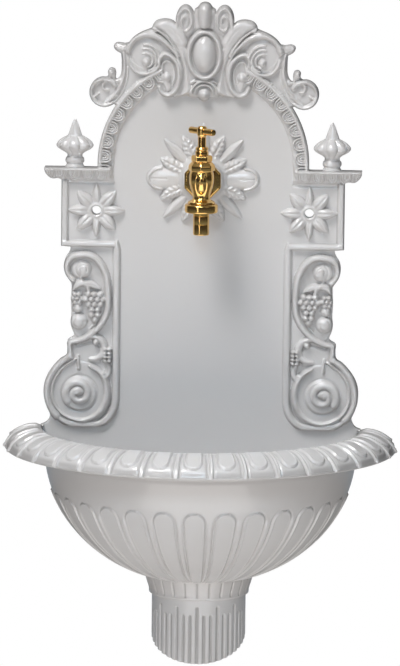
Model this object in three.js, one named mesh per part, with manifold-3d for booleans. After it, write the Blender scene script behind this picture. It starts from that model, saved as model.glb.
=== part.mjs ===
// A wall fountain: an arched back plate with a carved crest, a half-round basin and a brass tap.
// Millimetres. X runs to the right, Y into the wall and Z up. The wall is the plane y = 0, and the
// origin lies on it midway between the two screw holes. Depths are measured forward from the wall.
import Module from "manifold-3d";
import * as THREE from "three";
import { mergeVertices } from "three/addons/utils/BufferGeometryUtils.js";

const wasm = await Module();
wasm.setup();

// Fits
const SEAT_GAP = 0.3;
const SLIDE_GAP = 0.3;
const OVERLAP = 1;
const CUT_OVERRUN = 5;

// Back plate
const FIELD_DEPTH = 10;
const TAB_DROP = 37;
const ARCH_CENTRE_Z = 57;
const ARCH_OUTER_RADIUS = 127;
const ARCH_BAND_WIDTH = 17;
const ARCH_BAND_DEPTH = 14;
const ARCH_RIB_WIDTH = 5;
const ARCH_RIB_DEPTH = 18;
const ARCH_TONGUES = 17;
const ARCH_TONGUE_WIDTH = 10;
const TONGUE_RELIEF = 4;
const BLOCK_TOP_Z = 37;
const BLOCK_HEIGHT = 81;
const BLOCK_OUTER_X = 170.4;
const BLOCK_BAND_WIDTH = 8.5;
const BLOCK_BAND_DEPTH = 14;
const LEDGE_HEIGHT = 7.3;
const LEDGE_DEPTH = 16;

// Entablatures and finials
const CORNICE_HEIGHT = 15;
const CORNICE_INNER_X = 113;
const CORNICE_REACH = 20.5;
const CORNICE_DEPTH = 24;
const CORNICE_TONGUES = 3;
const FINIAL_X = 154.6;
const FINIAL_HEIGHT = 58.5;
const FINIAL_RADIUS = 22;
const FINIAL_FLATTENING = 0.75;
const FINIAL_AXIS_DEPTH = 8;
const FINIAL_SIDES = 10;

// Flowers with a screw hole in the middle of each
const SCREW_SPACING = 256;
const SCREW_HOLE_DIAMETER = 11;
const FLOWER_RADIUS = 32.5;
const FLOWER_EYE_RADIUS = 10.5;
const FLOWER_PETALS = 8;
const PETAL_RELIEF = 6;

// Pilasters
const RIB_X = 103;
const RIB_WIDTH = 9;
const RIB_DEPTH = 15;
const PANEL_OUTER_X = 157;
const SCROLL_DEPTH = 19;
const SCROLL_WIDTH = 6.5;
const GRAPE_RADIUS = 4.6;
const GRAPE_DEPTH = 15;
const GRAPE_MERGE = 0.4;
const SPRAY_RELIEF = 5;
const SPRAY_TIP_RELIEF = 2;
const BALL_RELIEF = 8;
const VOLUTE_DEPTH = 22;
const VOLUTE_DISC_RELIEF = 4;
const VOLUTE_CENTRE = { x: 146, z: -222.5 };
const VOLUTE_RADIUS = 37;
const HOOK_CENTRE = { x: 147, z: -69 };
const HOOK_RADIUS = 19.5;
const BULB_CENTRE = { x: 147, z: -136 };
const BULB_RADIUS = 11;
const FOLD_X = 161.5;
const FOLD_WIDTH = 8;
const FOLD_DROP = 48;
const FOLD_OFFSET = 3.5;
const FOLD_FROM_DEGREES = 286;
const FOLD_TO_DEGREES = 380;

// Crest
const CREST_SPAN_DEGREES = 27;
const CREST_BACK_DEPTH = 15;
const CREST_SCROLL_DEPTH = 24;
const CREST_STEP = 2;
const CREST_LEAF_RELIEF = 4;
const CREST_HEIGHT = 68.5;
const CABOCHON_HALF_WIDTH = 13.8;
const CABOCHON_HALF_HEIGHT = 22.6;
const CABOCHON_DEPTH = 28;
const RING_OFFSET = 3;
const RING_HALF_WIDTH = 2.2;
const SHELL_RADIUS = 8;
const KNOB_HALF_WIDTH = 8.8;
const KNOB_HALF_HEIGHT = 16.2;

// Rosette behind the tap
const TAP_Z = 40;
const BOSS_RADIUS = 31;
const BOSS_DEPTH = 24;
const ROSETTE_RADIUS = 66;
const ROSETTE_RELIEF = 7;
const ROSETTE_DROOP = 4;
const ROSETTE_LEAF_RADIUS = 57;
const ROSETTE_LEAF_WIDTH = 11;
const ROSETTE_PETAL_WIDTH = 16;
const ROSETTE_TALL_PETAL_WIDTH = 18;
const LOBE_WIDTH = 26;
const LOBE_TIP_WIDTH = 14;
const BOSS_SHOULDER = 7;
const BOSS_DRAFT = 2;

// Basin
const RIM_Z = -263;
const RIM_HEIGHT = 40;
const RIM_INNER_RADIUS = 195;
const RIM_OUTER_RADIUS = 240;
const RIM_DROP = 24;
const RIM_SEGMENTS = 18;
const RIM_SCALLOP = 3;
const RIM_ROUNDING = 1;
const RIM_LIP = 4;
const RIM_LIP_DROP = 9;
const PANEL_PROUD = 2;
const HOLLOW_STEPS = 18;
const BOWL_STEPS = 6;
const BOWL_HEIGHT = 139;
const BOWL_TOP_RADIUS = 188;
const BASIN_WALL = 4;
const FLUTES = 15;
const FLUTE_DROP = 36;
const FLUTE_RELIEF = 2.4;
const DRAIN_HOLE_DIAMETER = 40;

// Drain cover
const COLLAR_TOP_RADIUS = 65.7;
const COLLAR_BOTTOM_RADIUS = 59;
const COLLAR_HEIGHT = 24;
const COVER_RADIUS = 57;
const COVER_WALL = 4;
const COVER_BACK_LENGTH = 75;
const COVER_FRONT_DROP = 28;
const COVER_GROOVES = 21;
const COVER_GROOVE_DEPTH = 2;

// Tap
const TAP_REACH = 65;
const SHANK_DIAMETER = 21;
const INLET_BORE = 14;
const OUTLET_BORE = 13;
const WALL_NUT_ACROSS = 43.6;
const WALL_NUT_THICKNESS = 9;
const BARREL_DIAMETER = 30;
const WAIST_DIAMETER = 19;
const FOOT_DIAMETER = 33;
const FOOT_Z = 17;
const BARREL_TOP_Z = 56;
const BODY_TOP_Z = 67;
const BONNET_ACROSS = 22;
const BONNET_TOP_Z = 75;
const PACKING_DIAMETER = 16;
const PACKING_TOP_Z = 85;
const SPINDLE_DIAMETER = 10;
const HUB_BOTTOM_Z = 97;
const HUB_DIAMETER = 13;
const HUB_HEIGHT = 13;
const T_BAR_LENGTH = 42;
const T_BAR_DIAMETER = 8;
const T_BAR_TURN = THREE.MathUtils.degToRad(-47);
const UNION_DIAMETER = 40;
const UNION_HEIGHT = 10.5;
const OUTLET_DIAMETER = 19.5;
const OUTLET_END_Z = -21;

const BAND_CROWN_SHARE = 0.6;
const ROW_SHARE = 0.9;
const BORE_SIDES = 12;
const MERGE_DISTANCE = 1e-4;
const MIRROR_X = new THREE.Matrix4().makeScale(-1, 1, 1);

const enamel = () => new THREE.MeshStandardMaterial({ color: 0xeceae6, roughness: 0.25, metalness: 0 });
const brass = () => new THREE.MeshStandardMaterial({ color: 0xc9993f, roughness: 0.2, metalness: 1 });

// Solids

/** A manifold solid from a closed geometry, turned outward if its faces point in. */
function solidFrom(geometry) {
  geometry.deleteAttribute("normal");
  geometry.deleteAttribute("uv");
  const merged = mergeVertices(geometry, MERGE_DISTANCE);
  const index = merged.index.array;
  const triangles = [];
  for (let i = 0; i < index.length; i += 3) {
    const [a, b, c] = index.slice(i, i + 3);
    if (a !== b && b !== c && c !== a) triangles.push(a, b, c);
  }
  const vertProperties = new Float32Array(merged.attributes.position.array);
  const build = (triVerts) => new wasm.Manifold(new wasm.Mesh({ numProp: 3, vertProperties, triVerts }));
  const solid = build(new Uint32Array(triangles));
  return solid.volume() > 0 ? solid : build(new Uint32Array(triangles.reverse()));
}

const joined = (solids) => solids.reduce((sum, solid) => sum.add(solid));
const cut = (solid, tools) => tools.reduce((rest, tool) => rest.subtract(tool), solid);

/** The geometry of a solid, for a mesh or for mirroring. */
function geometryOf(solid) {
  const { vertProperties, triVerts } = solid.getMesh();
  const geometry = new THREE.BufferGeometry();
  geometry.setAttribute("position", new THREE.BufferAttribute(new Float32Array(vertProperties), 3));
  geometry.setIndex(new THREE.BufferAttribute(new Uint32Array(triVerts), 1));
  return geometry;
}

/** The solid and its mirror image on the other side of the middle plane. */
const bothSides = (solid) => [solid, solidFrom(geometryOf(solid).applyMatrix4(MIRROR_X))];

function meshOf(name, solid, material) {
  const geometry = geometryOf(solid);
  geometry.computeVertexNormals();
  const mesh = new THREE.Mesh(geometry, material);
  mesh.name = name;
  return mesh;
}

/** A closed body through sections of equal point counts, each placed in space by place(i, point). */
function loft(sections, place) {
  const count = sections[0].length;
  const last = sections.length - 1;
  const corners = sections.flatMap((section, i) => section.map((point) => place(i, point).toArray()));
  const index = [];
  for (let i = 0; i < last; i++) {
    for (let j = 0; j < count; j++) {
      const a = i * count + j;
      const b = i * count + ((j + 1) % count);
      index.push(a, b, b + count, a, b + count, a + count);
    }
  }
  const capAt = (i) => {
    const faces = THREE.ShapeUtils.triangulateShape(sections[i], []);
    return faces.map((face) => face.map((k) => k + i * count));
  };
  const isClockwise = THREE.ShapeUtils.isClockWise(sections[0]);
  const turned = (face) => (isClockwise ? face : [...face].reverse());
  capAt(0).forEach((face) => index.push(...turned(face)));
  capAt(last).forEach((face) => index.push(...turned(face).reverse()));
  const geometry = new THREE.BufferGeometry();
  geometry.setAttribute("position", new THREE.Float32BufferAttribute(corners.flat(), 3));
  geometry.setIndex(index);
  return solidFrom(geometry);
}

/** A flat outline in X and Z, standing between two depths in front of the wall. */
function slab(shape, fromDepth, toDepth, curveSegments = 12) {
  const depth = toDepth - fromDepth;
  const geometry = new THREE.ExtrudeGeometry(shape, { depth, bevelEnabled: false, curveSegments });
  return solidFrom(geometry.translate(0, 0, fromDepth).rotateX(Math.PI / 2));
}

function box(x0, x1, z0, z1, fromDepth, toDepth) {
  const geometry = new THREE.BoxGeometry(x1 - x0, toDepth - fromDepth, z1 - z0);
  return solidFrom(geometry.translate((x0 + x1) / 2, -(fromDepth + toDepth) / 2, (z0 + z1) / 2));
}

/** A round body about a vertical axis through (x, y), from [radius, z] points on or closed to the axis. */
function turnedBody(points, x, y, sides) {
  const profile = points.map(([radius, z]) => new THREE.Vector2(radius, z));
  const geometry = new THREE.LatheGeometry(profile, sides).rotateX(Math.PI / 2);
  return solidFrom(geometry.translate(x, y, 0));
}

/** A round or many-sided rod along Y between two depths. */
function rodToWall(radius, x, z, fromDepth, toDepth, sides, turn = 0) {
  const geometry = new THREE.CylinderGeometry(radius, radius, toDepth - fromDepth, sides);
  return solidFrom(geometry.rotateY(turn).translate(x, -(fromDepth + toDepth) / 2, z));
}

/** A low dome on the plate, from a foot depth up to a crown depth. */
function dome(x, z, radiusX, radiusZ, footDepth, crownDepth, sides = 5) {
  const rise = crownDepth - footDepth;
  const profile = [at(0, 0), at(1, 0), at(0.8, 0.65 * rise), at(0, rise)];
  const geometry = new THREE.LatheGeometry(profile, sides).rotateX(Math.PI);
  return solidFrom(geometry.scale(radiusX, 1, radiusZ).translate(x, -footDepth, z));
}

// Paths on the plate

const at = (x, z) => new THREE.Vector2(x, z);

/** Points of an elliptic arc or spiral, whose radii go from the first pair to the second. */
function spiral(x, z, fromRadii, toRadii, fromDegrees, toDegrees, steps) {
  const points = [];
  for (let i = 0; i <= steps; i++) {
    const t = i / steps;
    const angle = THREE.MathUtils.degToRad(THREE.MathUtils.lerp(fromDegrees, toDegrees, t));
    const radiusX = THREE.MathUtils.lerp(fromRadii[0], toRadii[0], t);
    const radiusZ = THREE.MathUtils.lerp(fromRadii[1], toRadii[1], t);
    points.push(at(x + radiusX * Math.cos(angle), z + radiusZ * Math.sin(angle)));
  }
  return points;
}

const arc = (x, z, radiusX, radiusZ, from, to, steps) =>
  spiral(x, z, [radiusX, radiusZ], [radiusX, radiusZ], from, to, steps);

/** Corners of a closed ellipse, without a doubled last one. */
const ellipse = (x, z, radiusX, radiusZ, sides) =>
  arc(x, z, radiusX, radiusZ, 0, 360 - 360 / sides, sides - 1);

/** A body along a path on the plate, whose section at each share of the way is given by sectionAt. */
function alongPath(path, sectionAt) {
  const last = path.length - 1;
  const sections = path.map((_, i) => sectionAt(i / last));
  const sides = path.map((_, i) => {
    const along = path[Math.min(i + 1, last)].clone().sub(path[Math.max(i - 1, 0)]).normalize();
    return at(-along.y, along.x);
  });
  return loft(sections, (i, point) => {
    const across = sides[i].clone().multiplyScalar(point.x).add(path[i]);
    return new THREE.Vector3(across.x, -point.y, across.y);
  });
}

const taper = (from, to) => (t) => THREE.MathUtils.lerp(from, to, t);
const valueAt = (size, t) => (typeof size === "function" ? size(t) : size);

/** A raised bead with a sharp crown, whose width and crown depth may vary along its path. */
function ridge(path, width, crown, foot = FIELD_DEPTH - OVERLAP) {
  return alongPath(path, (t) => {
    const half = valueAt(width, t) / 2;
    return [at(-half, foot), at(half, foot), at(0, valueAt(crown, t))];
  });
}

/** A raised band with a flat crown, half as wide as its foot. */
function flatBand(path, width, crown, foot = FIELD_DEPTH - OVERLAP) {
  return alongPath(path, (t) => {
    const half = valueAt(width, t) / 2;
    const top = valueAt(crown, t);
    const crownHalf = half * BAND_CROWN_SHARE;
    return [at(-half, foot), at(half, foot), at(crownHalf, top), at(-crownHalf, top)];
  });
}

/** A pointed leaf with a sharp middle line, from its root outward along an angle. */
function leaf(x, z, degrees, length, width, rootCrown, tipCrown, foot = FIELD_DEPTH - OVERLAP) {
  const angle = THREE.MathUtils.degToRad(degrees);
  const shares = [0, 0.4, 0.75, 1];
  const swells = [0.55, 1, 0.75, 0.1];
  const along = at(Math.cos(angle), Math.sin(angle)).multiplyScalar(length);
  const path = shares.map((share) => at(x, z).addScaledVector(along, share));
  return alongPath(path, (t) => {
    const step = Math.round(t * (shares.length - 1));
    const half = (width * swells[step]) / 2;
    return [at(-half, foot), at(half, foot), at(0, THREE.MathUtils.lerp(rootCrown, tipCrown, shares[step]))];
  });
}

// Back plate

const archTopZ = ARCH_CENTRE_Z + ARCH_OUTER_RADIUS;
const archInnerRadius = ARCH_OUTER_RADIUS - ARCH_BAND_WIDTH;
const blockBottomZ = BLOCK_TOP_Z - BLOCK_HEIGHT;
const corniceTopZ = BLOCK_TOP_Z + CORNICE_HEIGHT;
const ribOuterX = RIB_X + RIB_WIDTH / 2;
const tabBottomZ = RIM_Z - TAB_DROP;
const bowlTopZ = RIM_Z - RIM_HEIGHT;
const bowlBottomZ = bowlTopZ - BOWL_HEIGHT;
const bowlInnerTopRadius = BOWL_TOP_RADIUS - BASIN_WALL;
const tabHalfWidth = bowlInnerTopRadius - FIELD_DEPTH / 2;

/** Right half of the plate's outline below the crest, a little past the middle plane. */
function plateOutline() {
  const fieldRadius = archInnerRadius + OVERLAP;
  const foldReach = VOLUTE_RADIUS + FOLD_OFFSET;
  const { x, z } = VOLUTE_CENTRE;
  return [
    at(-OVERLAP, RIM_Z + SEAT_GAP),
    at(-OVERLAP, ARCH_CENTRE_Z + fieldRadius),
    ...arc(0, ARCH_CENTRE_Z, fieldRadius, fieldRadius, 85, 0, 12),
    at(fieldRadius, BLOCK_TOP_Z),
    at(BLOCK_OUTER_X, BLOCK_TOP_Z),
    at(BLOCK_OUTER_X, blockBottomZ),
    ...arc(HOOK_CENTRE.x, HOOK_CENTRE.z, HOOK_RADIUS, HOOK_RADIUS, 60, -55, 5),
    at(PANEL_OUTER_X, HOOK_CENTRE.z - 2.77 * HOOK_RADIUS),
    ...arc(BULB_CENTRE.x, BULB_CENTRE.z, BULB_RADIUS, BULB_RADIUS, 0, -75, 3),
    at(PANEL_OUTER_X, BULB_CENTRE.z - 1.6 * BULB_RADIUS),
    at(FOLD_X, BULB_CENTRE.z - 2 * BULB_RADIUS),
    ...arc(x + FOLD_OFFSET, z, foldReach, -FOLD_DROP, FOLD_FROM_DEGREES, FOLD_TO_DEGREES, 10),
    at(x + VOLUTE_RADIUS, z - 0.78 * VOLUTE_RADIUS),
    at(x + 1.08 * VOLUTE_RADIUS, RIM_Z + RIM_LIP),
    at(RIM_INNER_RADIUS - RIM_ROUNDING, RIM_Z + SEAT_GAP),
  ];
}

/** The flat plate with the tab that hangs into the basin. */
function plateGround() {
  const ground = slab(new THREE.Shape(plateOutline()), 0, FIELD_DEPTH);
  const tabBackDepth = BASIN_WALL + SEAT_GAP;
  const tab = box(-tabHalfWidth, tabHalfWidth, tabBottomZ, RIM_Z + OVERLAP, tabBackDepth, FIELD_DEPTH);
  return [...bothSides(ground), tab];
}

/** The arch's band with the rib on its outer edge, and the tongues along it. */
function archCarving() {
  const middleRadius = ARCH_OUTER_RADIUS - ARCH_BAND_WIDTH / 2;
  const half = ARCH_BAND_WIDTH / 2;
  const legZ = corniceTopZ - OVERLAP;
  const path = [
    at(middleRadius, legZ),
    ...arc(0, ARCH_CENTRE_Z, middleRadius, middleRadius, 0, 180, 22),
    at(-middleRadius, legZ),
  ];
  const section = [
    at(half, 0),
    at(-half, 0),
    at(-half, ARCH_RIB_DEPTH - 2),
    at(ARCH_RIB_WIDTH / 2 - half, ARCH_RIB_DEPTH),
    at(ARCH_RIB_WIDTH - half, ARCH_BAND_DEPTH),
    at(half, ARCH_BAND_DEPTH),
  ];
  const carving = [alongPath(path, () => section)];
  const rootRadius = ARCH_OUTER_RADIUS - ARCH_RIB_WIDTH - OVERLAP;
  const length = ARCH_BAND_WIDTH - ARCH_RIB_WIDTH - 2 * OVERLAP;
  const crown = ARCH_BAND_DEPTH + TONGUE_RELIEF;
  const foot = ARCH_BAND_DEPTH - OVERLAP;
  for (let i = 0; i < ARCH_TONGUES; i++) {
    const degrees = (180 * (i + 0.5)) / ARCH_TONGUES;
    if (Math.abs(degrees - 90) < CREST_SPAN_DEGREES) continue;
    const angle = THREE.MathUtils.degToRad(degrees);
    const x = rootRadius * Math.cos(angle);
    const z = ARCH_CENTRE_Z + rootRadius * Math.sin(angle);
    carving.push(leaf(x, z, degrees + 180, length, ARCH_TONGUE_WIDTH, crown, crown - 2, foot));
  }
  return carving;
}

/** One side's cornice: boxes that grow upward, returned round the outer end, with tongues below. */
function entablature() {
  const levels = [0, 0.65, 1];
  const reaches = [0.1, 1, 1];
  const depthAt = (share) => THREE.MathUtils.lerp(BLOCK_BAND_DEPTH, CORNICE_DEPTH, share);
  const sections = reaches.map((share) => {
    const outerX = BLOCK_OUTER_X + CORNICE_REACH * share;
    const depth = depthAt(share);
    return [at(CORNICE_INNER_X, 0), at(outerX, 0), at(outerX, -depth), at(CORNICE_INNER_X, -depth)];
  });
  const levelZ = (i) => BLOCK_TOP_Z + CORNICE_HEIGHT * levels[i];
  const cornice = loft(sections, (i, point) => new THREE.Vector3(point.x, point.y, levelZ(i)));
  const pieces = [cornice];
  const spacing = (BLOCK_OUTER_X - CORNICE_INNER_X) / CORNICE_TONGUES;
  for (let i = 0; i < CORNICE_TONGUES; i++) {
    const x = CORNICE_INNER_X + spacing * (i + 0.5);
    const length = CORNICE_HEIGHT - 3;
    pieces.push(leaf(x, corniceTopZ - 4, -90, length, 10, CORNICE_DEPTH + 1, BLOCK_BAND_DEPTH + 1));
  }
  return pieces;
}

/** A finial, as [share of its radius, share of its height] turned about its axis and flattened in depth. */
function finial() {
  const profile = [
    [0, -0.02],
    [0.45, -0.02],
    [0.4, 0.1],
    [0.53, 0.12],
    [0.53, 0.17],
    [0.37, 0.22],
    [0.75, 0.32],
    [1, 0.45],
    [0.72, 0.6],
    [0.38, 0.67],
    [0, 1],
  ];
  const points = profile.map(([radius, height]) => at(radius * FINIAL_RADIUS, height * FINIAL_HEIGHT));
  const geometry = new THREE.LatheGeometry(points, FINIAL_SIDES).rotateX(Math.PI / 2);
  geometry.scale(1, FINIAL_FLATTENING, 1).translate(FINIAL_X, -FINIAL_AXIS_DEPTH, corniceTopZ);
  return solidFrom(geometry);
}

/** One side's flower block: its border, ledge and the eight-petalled flower. */
function flowerBlock() {
  const centreX = SCREW_SPACING / 2;
  const bandInnerX = BLOCK_OUTER_X - BLOCK_BAND_WIDTH;
  const border = box(bandInnerX, BLOCK_OUTER_X, blockBottomZ, BLOCK_TOP_Z, 0, BLOCK_BAND_DEPTH);
  const ledgeTopZ = blockBottomZ + LEDGE_HEIGHT;
  const ledge = box(ribOuterX, BLOCK_OUTER_X, blockBottomZ, ledgeTopZ, 0, LEDGE_DEPTH);
  const pieces = [border, ledge];
  const widths = [10, 15, 8, 15];
  const rootRadius = FLOWER_EYE_RADIUS + 0.5;
  for (let i = 0; i < FLOWER_PETALS; i++) {
    const degrees = (360 * i) / FLOWER_PETALS;
    const angle = THREE.MathUtils.degToRad(degrees);
    const x = centreX + rootRadius * Math.cos(angle);
    const z = rootRadius * Math.sin(angle);
    const crown = FIELD_DEPTH + PETAL_RELIEF;
    pieces.push(leaf(x, z, degrees, FLOWER_RADIUS - rootRadius, widths[i % widths.length], crown, crown - 3));
  }
  const eyeDepth = FIELD_DEPTH + PETAL_RELIEF - 1;
  pieces.push(rodToWall(FLOWER_EYE_RADIUS, centreX, 0, FIELD_DEPTH - OVERLAP, eyeDepth, 12));
  return pieces;
}

/** A bunch of grapes: rows that narrow downward, lower at their sides. */
function grapes(x, z, rows) {
  const spacing = 2 * GRAPE_RADIUS - GRAPE_MERGE;
  return rows.flatMap((count, row) =>
    Array.from({ length: count }, (_, i) => {
      const offset = i - (count - 1) / 2;
      const crown = GRAPE_DEPTH + GRAPE_RADIUS - Math.abs(offset);
      const grapeX = x + offset * spacing;
      const grapeZ = z - row * spacing * ROW_SHARE;
      return dome(grapeX, grapeZ, GRAPE_RADIUS, GRAPE_RADIUS, FIELD_DEPTH - OVERLAP, crown);
    }),
  );
}

/** The pilaster's upper half: a C-scroll that hooks round an eye and frames the fruit, in hook radii. */
function fruitScroll() {
  const unit = HOOK_RADIUS;
  const { x, z } = HOOK_CENTRE;
  const foot = FIELD_DEPTH - OVERLAP;
  const place = (across, up) => at(x + across * unit, z + up * unit);
  const hookPathRadius = unit - SCROLL_WIDTH / 2;
  const scrollPath = [
    ...arc(x, z, hookPathRadius, hookPathRadius, -50, 50, 4),
    ...arc(x, z - 1.95 * unit, 1.85 * unit, 2.77 * unit, 90, 255, 9),
    place(0.51, -4.51),
  ];
  const foldMiddleX = FOLD_X - FOLD_WIDTH / 2;
  const foldTop = at(foldMiddleX, z - 4.41 * unit);
  const foldBottom = at(foldMiddleX, z - 5.74 * unit);
  const ball = (across, up, radius, relief, sides) => {
    const centre = place(across, up);
    return dome(centre.x, centre.y, radius, radius, foot, FIELD_DEPTH + relief, sides);
  };
  const spray = (degrees, length, width) => {
    const root = place(-0.1, -0.77);
    const crown = FIELD_DEPTH + SPRAY_RELIEF;
    return leaf(root.x, root.y, degrees, length * unit, width * unit, crown, FIELD_DEPTH + SPRAY_TIP_RELIEF);
  };
  const bigBunch = place(-0.92, -1.54);
  const smallBunch = place(0.2, -1.69);
  return [
    ridge(scrollPath, SCROLL_WIDTH, SCROLL_DEPTH),
    flatBand([foldTop, foldBottom], FOLD_WIDTH, SCROLL_DEPTH - CREST_STEP),
    ball(-0.05, -0.1, 0.41 * unit, BALL_RELIEF, 8),
    spray(215, 0.82, 0.46),
    spray(-35, 0.51, 0.41),
    ball(0.13, -2.62, 0.33 * unit, BALL_RELIEF, 5),
    dome(
      BULB_CENTRE.x,
      BULB_CENTRE.z,
      BULB_RADIUS - OVERLAP,
      BULB_RADIUS - OVERLAP,
      foot,
      FIELD_DEPTH + BALL_RELIEF,
      8,
    ),
    ...grapes(bigBunch.x, bigBunch.y, [2, 3, 2, 1]),
    ...grapes(smallBunch.x, smallBunch.y, [1, 1]),
  ];
}

/** The pilaster's lower half, in volute radii: the big volute with the hook and the spray above it. */
function lowerVolute() {
  const unit = VOLUTE_RADIUS;
  const { x, z } = VOLUTE_CENTRE;
  const foot = FIELD_DEPTH - OVERLAP;
  const rimCrown = VOLUTE_DEPTH - VOLUTE_DISC_RELIEF;
  const discCrown = FIELD_DEPTH + VOLUTE_DISC_RELIEF;
  const discRadius = 0.78 * unit;
  const rimPath = arc(x + FOLD_OFFSET, z, unit, 1.19 * unit, 74, -22, 6);
  const ringPath = arc(x, z, 0.88 * unit, 0.92 * unit, 75, 320, 11);
  const spine = spiral(x, z, [0.59 * unit, 0.59 * unit], [0.22 * unit, 0.22 * unit], 75, -400, 15);
  const hook = arc(x - 0.54 * unit, z + 1.49 * unit, 0.24 * unit, 0.35 * unit, 95, -75, 5);
  const eyeRadius = 0.12 * unit;
  const bead = 0.14 * unit;
  const crown = FIELD_DEPTH + SPRAY_RELIEF;
  const leafRoot = at(x - 0.81 * unit, z + 1.03 * unit);
  return [
    slab(new THREE.Shape(ellipse(x, z, discRadius, discRadius, 15)), foot, discCrown),
    ridge(rimPath, 1.15 * bead, rimCrown),
    ridge(ringPath, 0.9 * bead, rimCrown),
    ridge(spine, taper(1.35 * bead, 0.8 * bead), VOLUTE_DEPTH, discCrown - OVERLAP),
    dome(x, z, eyeRadius, eyeRadius, discCrown - OVERLAP, VOLUTE_DEPTH),
    ridge(hook, bead, crown),
    dome(x - 0.51 * unit, z + 1.64 * unit, eyeRadius, eyeRadius, foot, crown),
    ...grapes(x - 0.84 * unit, z + 1.32 * unit, [1, 2]),
    leaf(leafRoot.x, leafRoot.y, -80, 0.4 * unit, 0.24 * unit, crown, FIELD_DEPTH + SPRAY_TIP_RELIEF),
  ];
}

/** One side's pilaster: the inner rib, the scroll with its fruit, and the big volute. */
function pilaster() {
  const { x, z } = VOLUTE_CENTRE;
  const turnX = x + 0.11 * VOLUTE_RADIUS;
  const turnZ = z - 0.14 * VOLUTE_RADIUS;
  const ribPath = [
    at(RIB_X, blockBottomZ + LEDGE_HEIGHT),
    ...arc(turnX, turnZ, turnX - RIB_X, 0.97 * VOLUTE_RADIUS, 180, 310, 9),
  ];
  return [flatBand(ribPath, RIB_WIDTH, RIB_DEPTH), ...fruitScroll(), ...lowerVolute()];
}

/** Points given in shares of the crest's height, from the arch's crown up. */
const onCrest = (points) => points.map(({ x, y }) => at(x * CREST_HEIGHT, archTopZ + y * CREST_HEIGHT));

/** Right half of the crest's outline. */
function crestOutline() {
  const bandRadius = ARCH_OUTER_RADIUS - ARCH_BAND_WIDTH / 2;
  const ear = arc(0.33, 0.67, 0.175, 0.263, 160, 0, 6);
  const shoulder = [at(0.72, 0.69), at(0.85, 0.66), at(0.93, 0.54)];
  const volute = spiral(1.05, 0.06, [0.44, 0.45], [0.36, 0.36], 85, 20, 4);
  const sideTip = [at(1.56, 0.255), at(1.61, 0.175), at(1.56, 0.11), at(1.454, 0.1)];
  const stem = [at(1.457, -0.29), at(1.52, -0.365), at(1.62, -0.22), at(1.69, -0.25)];
  const endScroll = arc(1.75, -0.6, 0.263, 0.27, 80, -120, 8);
  const underside = [at(0.73, -0.66), at(0.6, -0.71), at(0.38, -0.61)];
  const middle = onCrest([at(0, -0.69), at(0, 0.555)]).map((point) => point.setX(-OVERLAP));
  return [
    ...middle,
    ...onCrest([...ear, ...shoulder, ...volute, ...sideTip, ...stem, ...endScroll]),
    ...arc(0, ARCH_CENTRE_Z, bandRadius, bandRadius, 34, 62, 3),
    ...onCrest(underside),
  ];
}

/** One side's crest carving, in shares of the crest's height. */
function crestSide() {
  const foot = CREST_BACK_DEPTH - OVERLAP;
  const bead = (points, width, crown) =>
    ridge(onCrest(points), (t) => valueAt(width, t) * CREST_HEIGHT, crown, foot);
  const ball = (across, up, crown) => {
    const [centre] = onCrest([at(across, up)]);
    return dome(centre.x, centre.y, 0.08 * CREST_HEIGHT, 0.08 * CREST_HEIGHT, foot, crown);
  };
  const high = CREST_SCROLL_DEPTH;
  const middling = high - CREST_STEP;
  const low = middling - CREST_STEP;
  const leafy = CREST_BACK_DEPTH + CREST_LEAF_RELIEF;
  const voluteOutside = spiral(1.05, 0.06, [0.44, 0.41], [0.29, 0.29], 165, 15, 5);
  const voluteInside = spiral(1.045, 0.045, [0.285, 0.29], [0.18, 0.19], -15, -190, 6);
  return [
    slab(new THREE.Shape(crestOutline()), 0, CREST_BACK_DEPTH),
    bead(spiral(0.33, 0.67, [0.13, 0.2], [0.05, 0.073], 125, -200, 9), taper(0.073, 0.05), middling),
    bead([at(0.39, 0.06), at(0.48, 0.32), at(0.66, 0.5), at(0.85, 0.555)], taper(0.073, 0.13), leafy),
    bead([at(0.44, -0.175), ...voluteOutside, ...voluteInside], taper(0.1, 0.088), high),
    ball(1.015, 0, high),
    bead([at(1.34, 0.18), at(1.56, 0.175)], taper(0.117, 0.058), leafy),
    bead([at(1.4, 0.06), at(1.394, -0.26), at(1.474, -0.51), at(1.59, -0.73)], 0.088, leafy),
    bead([at(1.474, -0.41), at(1.635, -0.28)], taper(0.073, 0.088), leafy),
    bead(spiral(1.75, -0.6, [0.2, 0.21], [0.117, 0.117], 130, -110, 6), taper(0.088, 0.073), low),
    bead([at(0.745, -0.088), ...arc(0.63, -0.277, 0.19, 0.336, 70, 290, 8)], 0.088, middling),
    ball(0.67, -0.31, middling),
  ];
}

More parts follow.
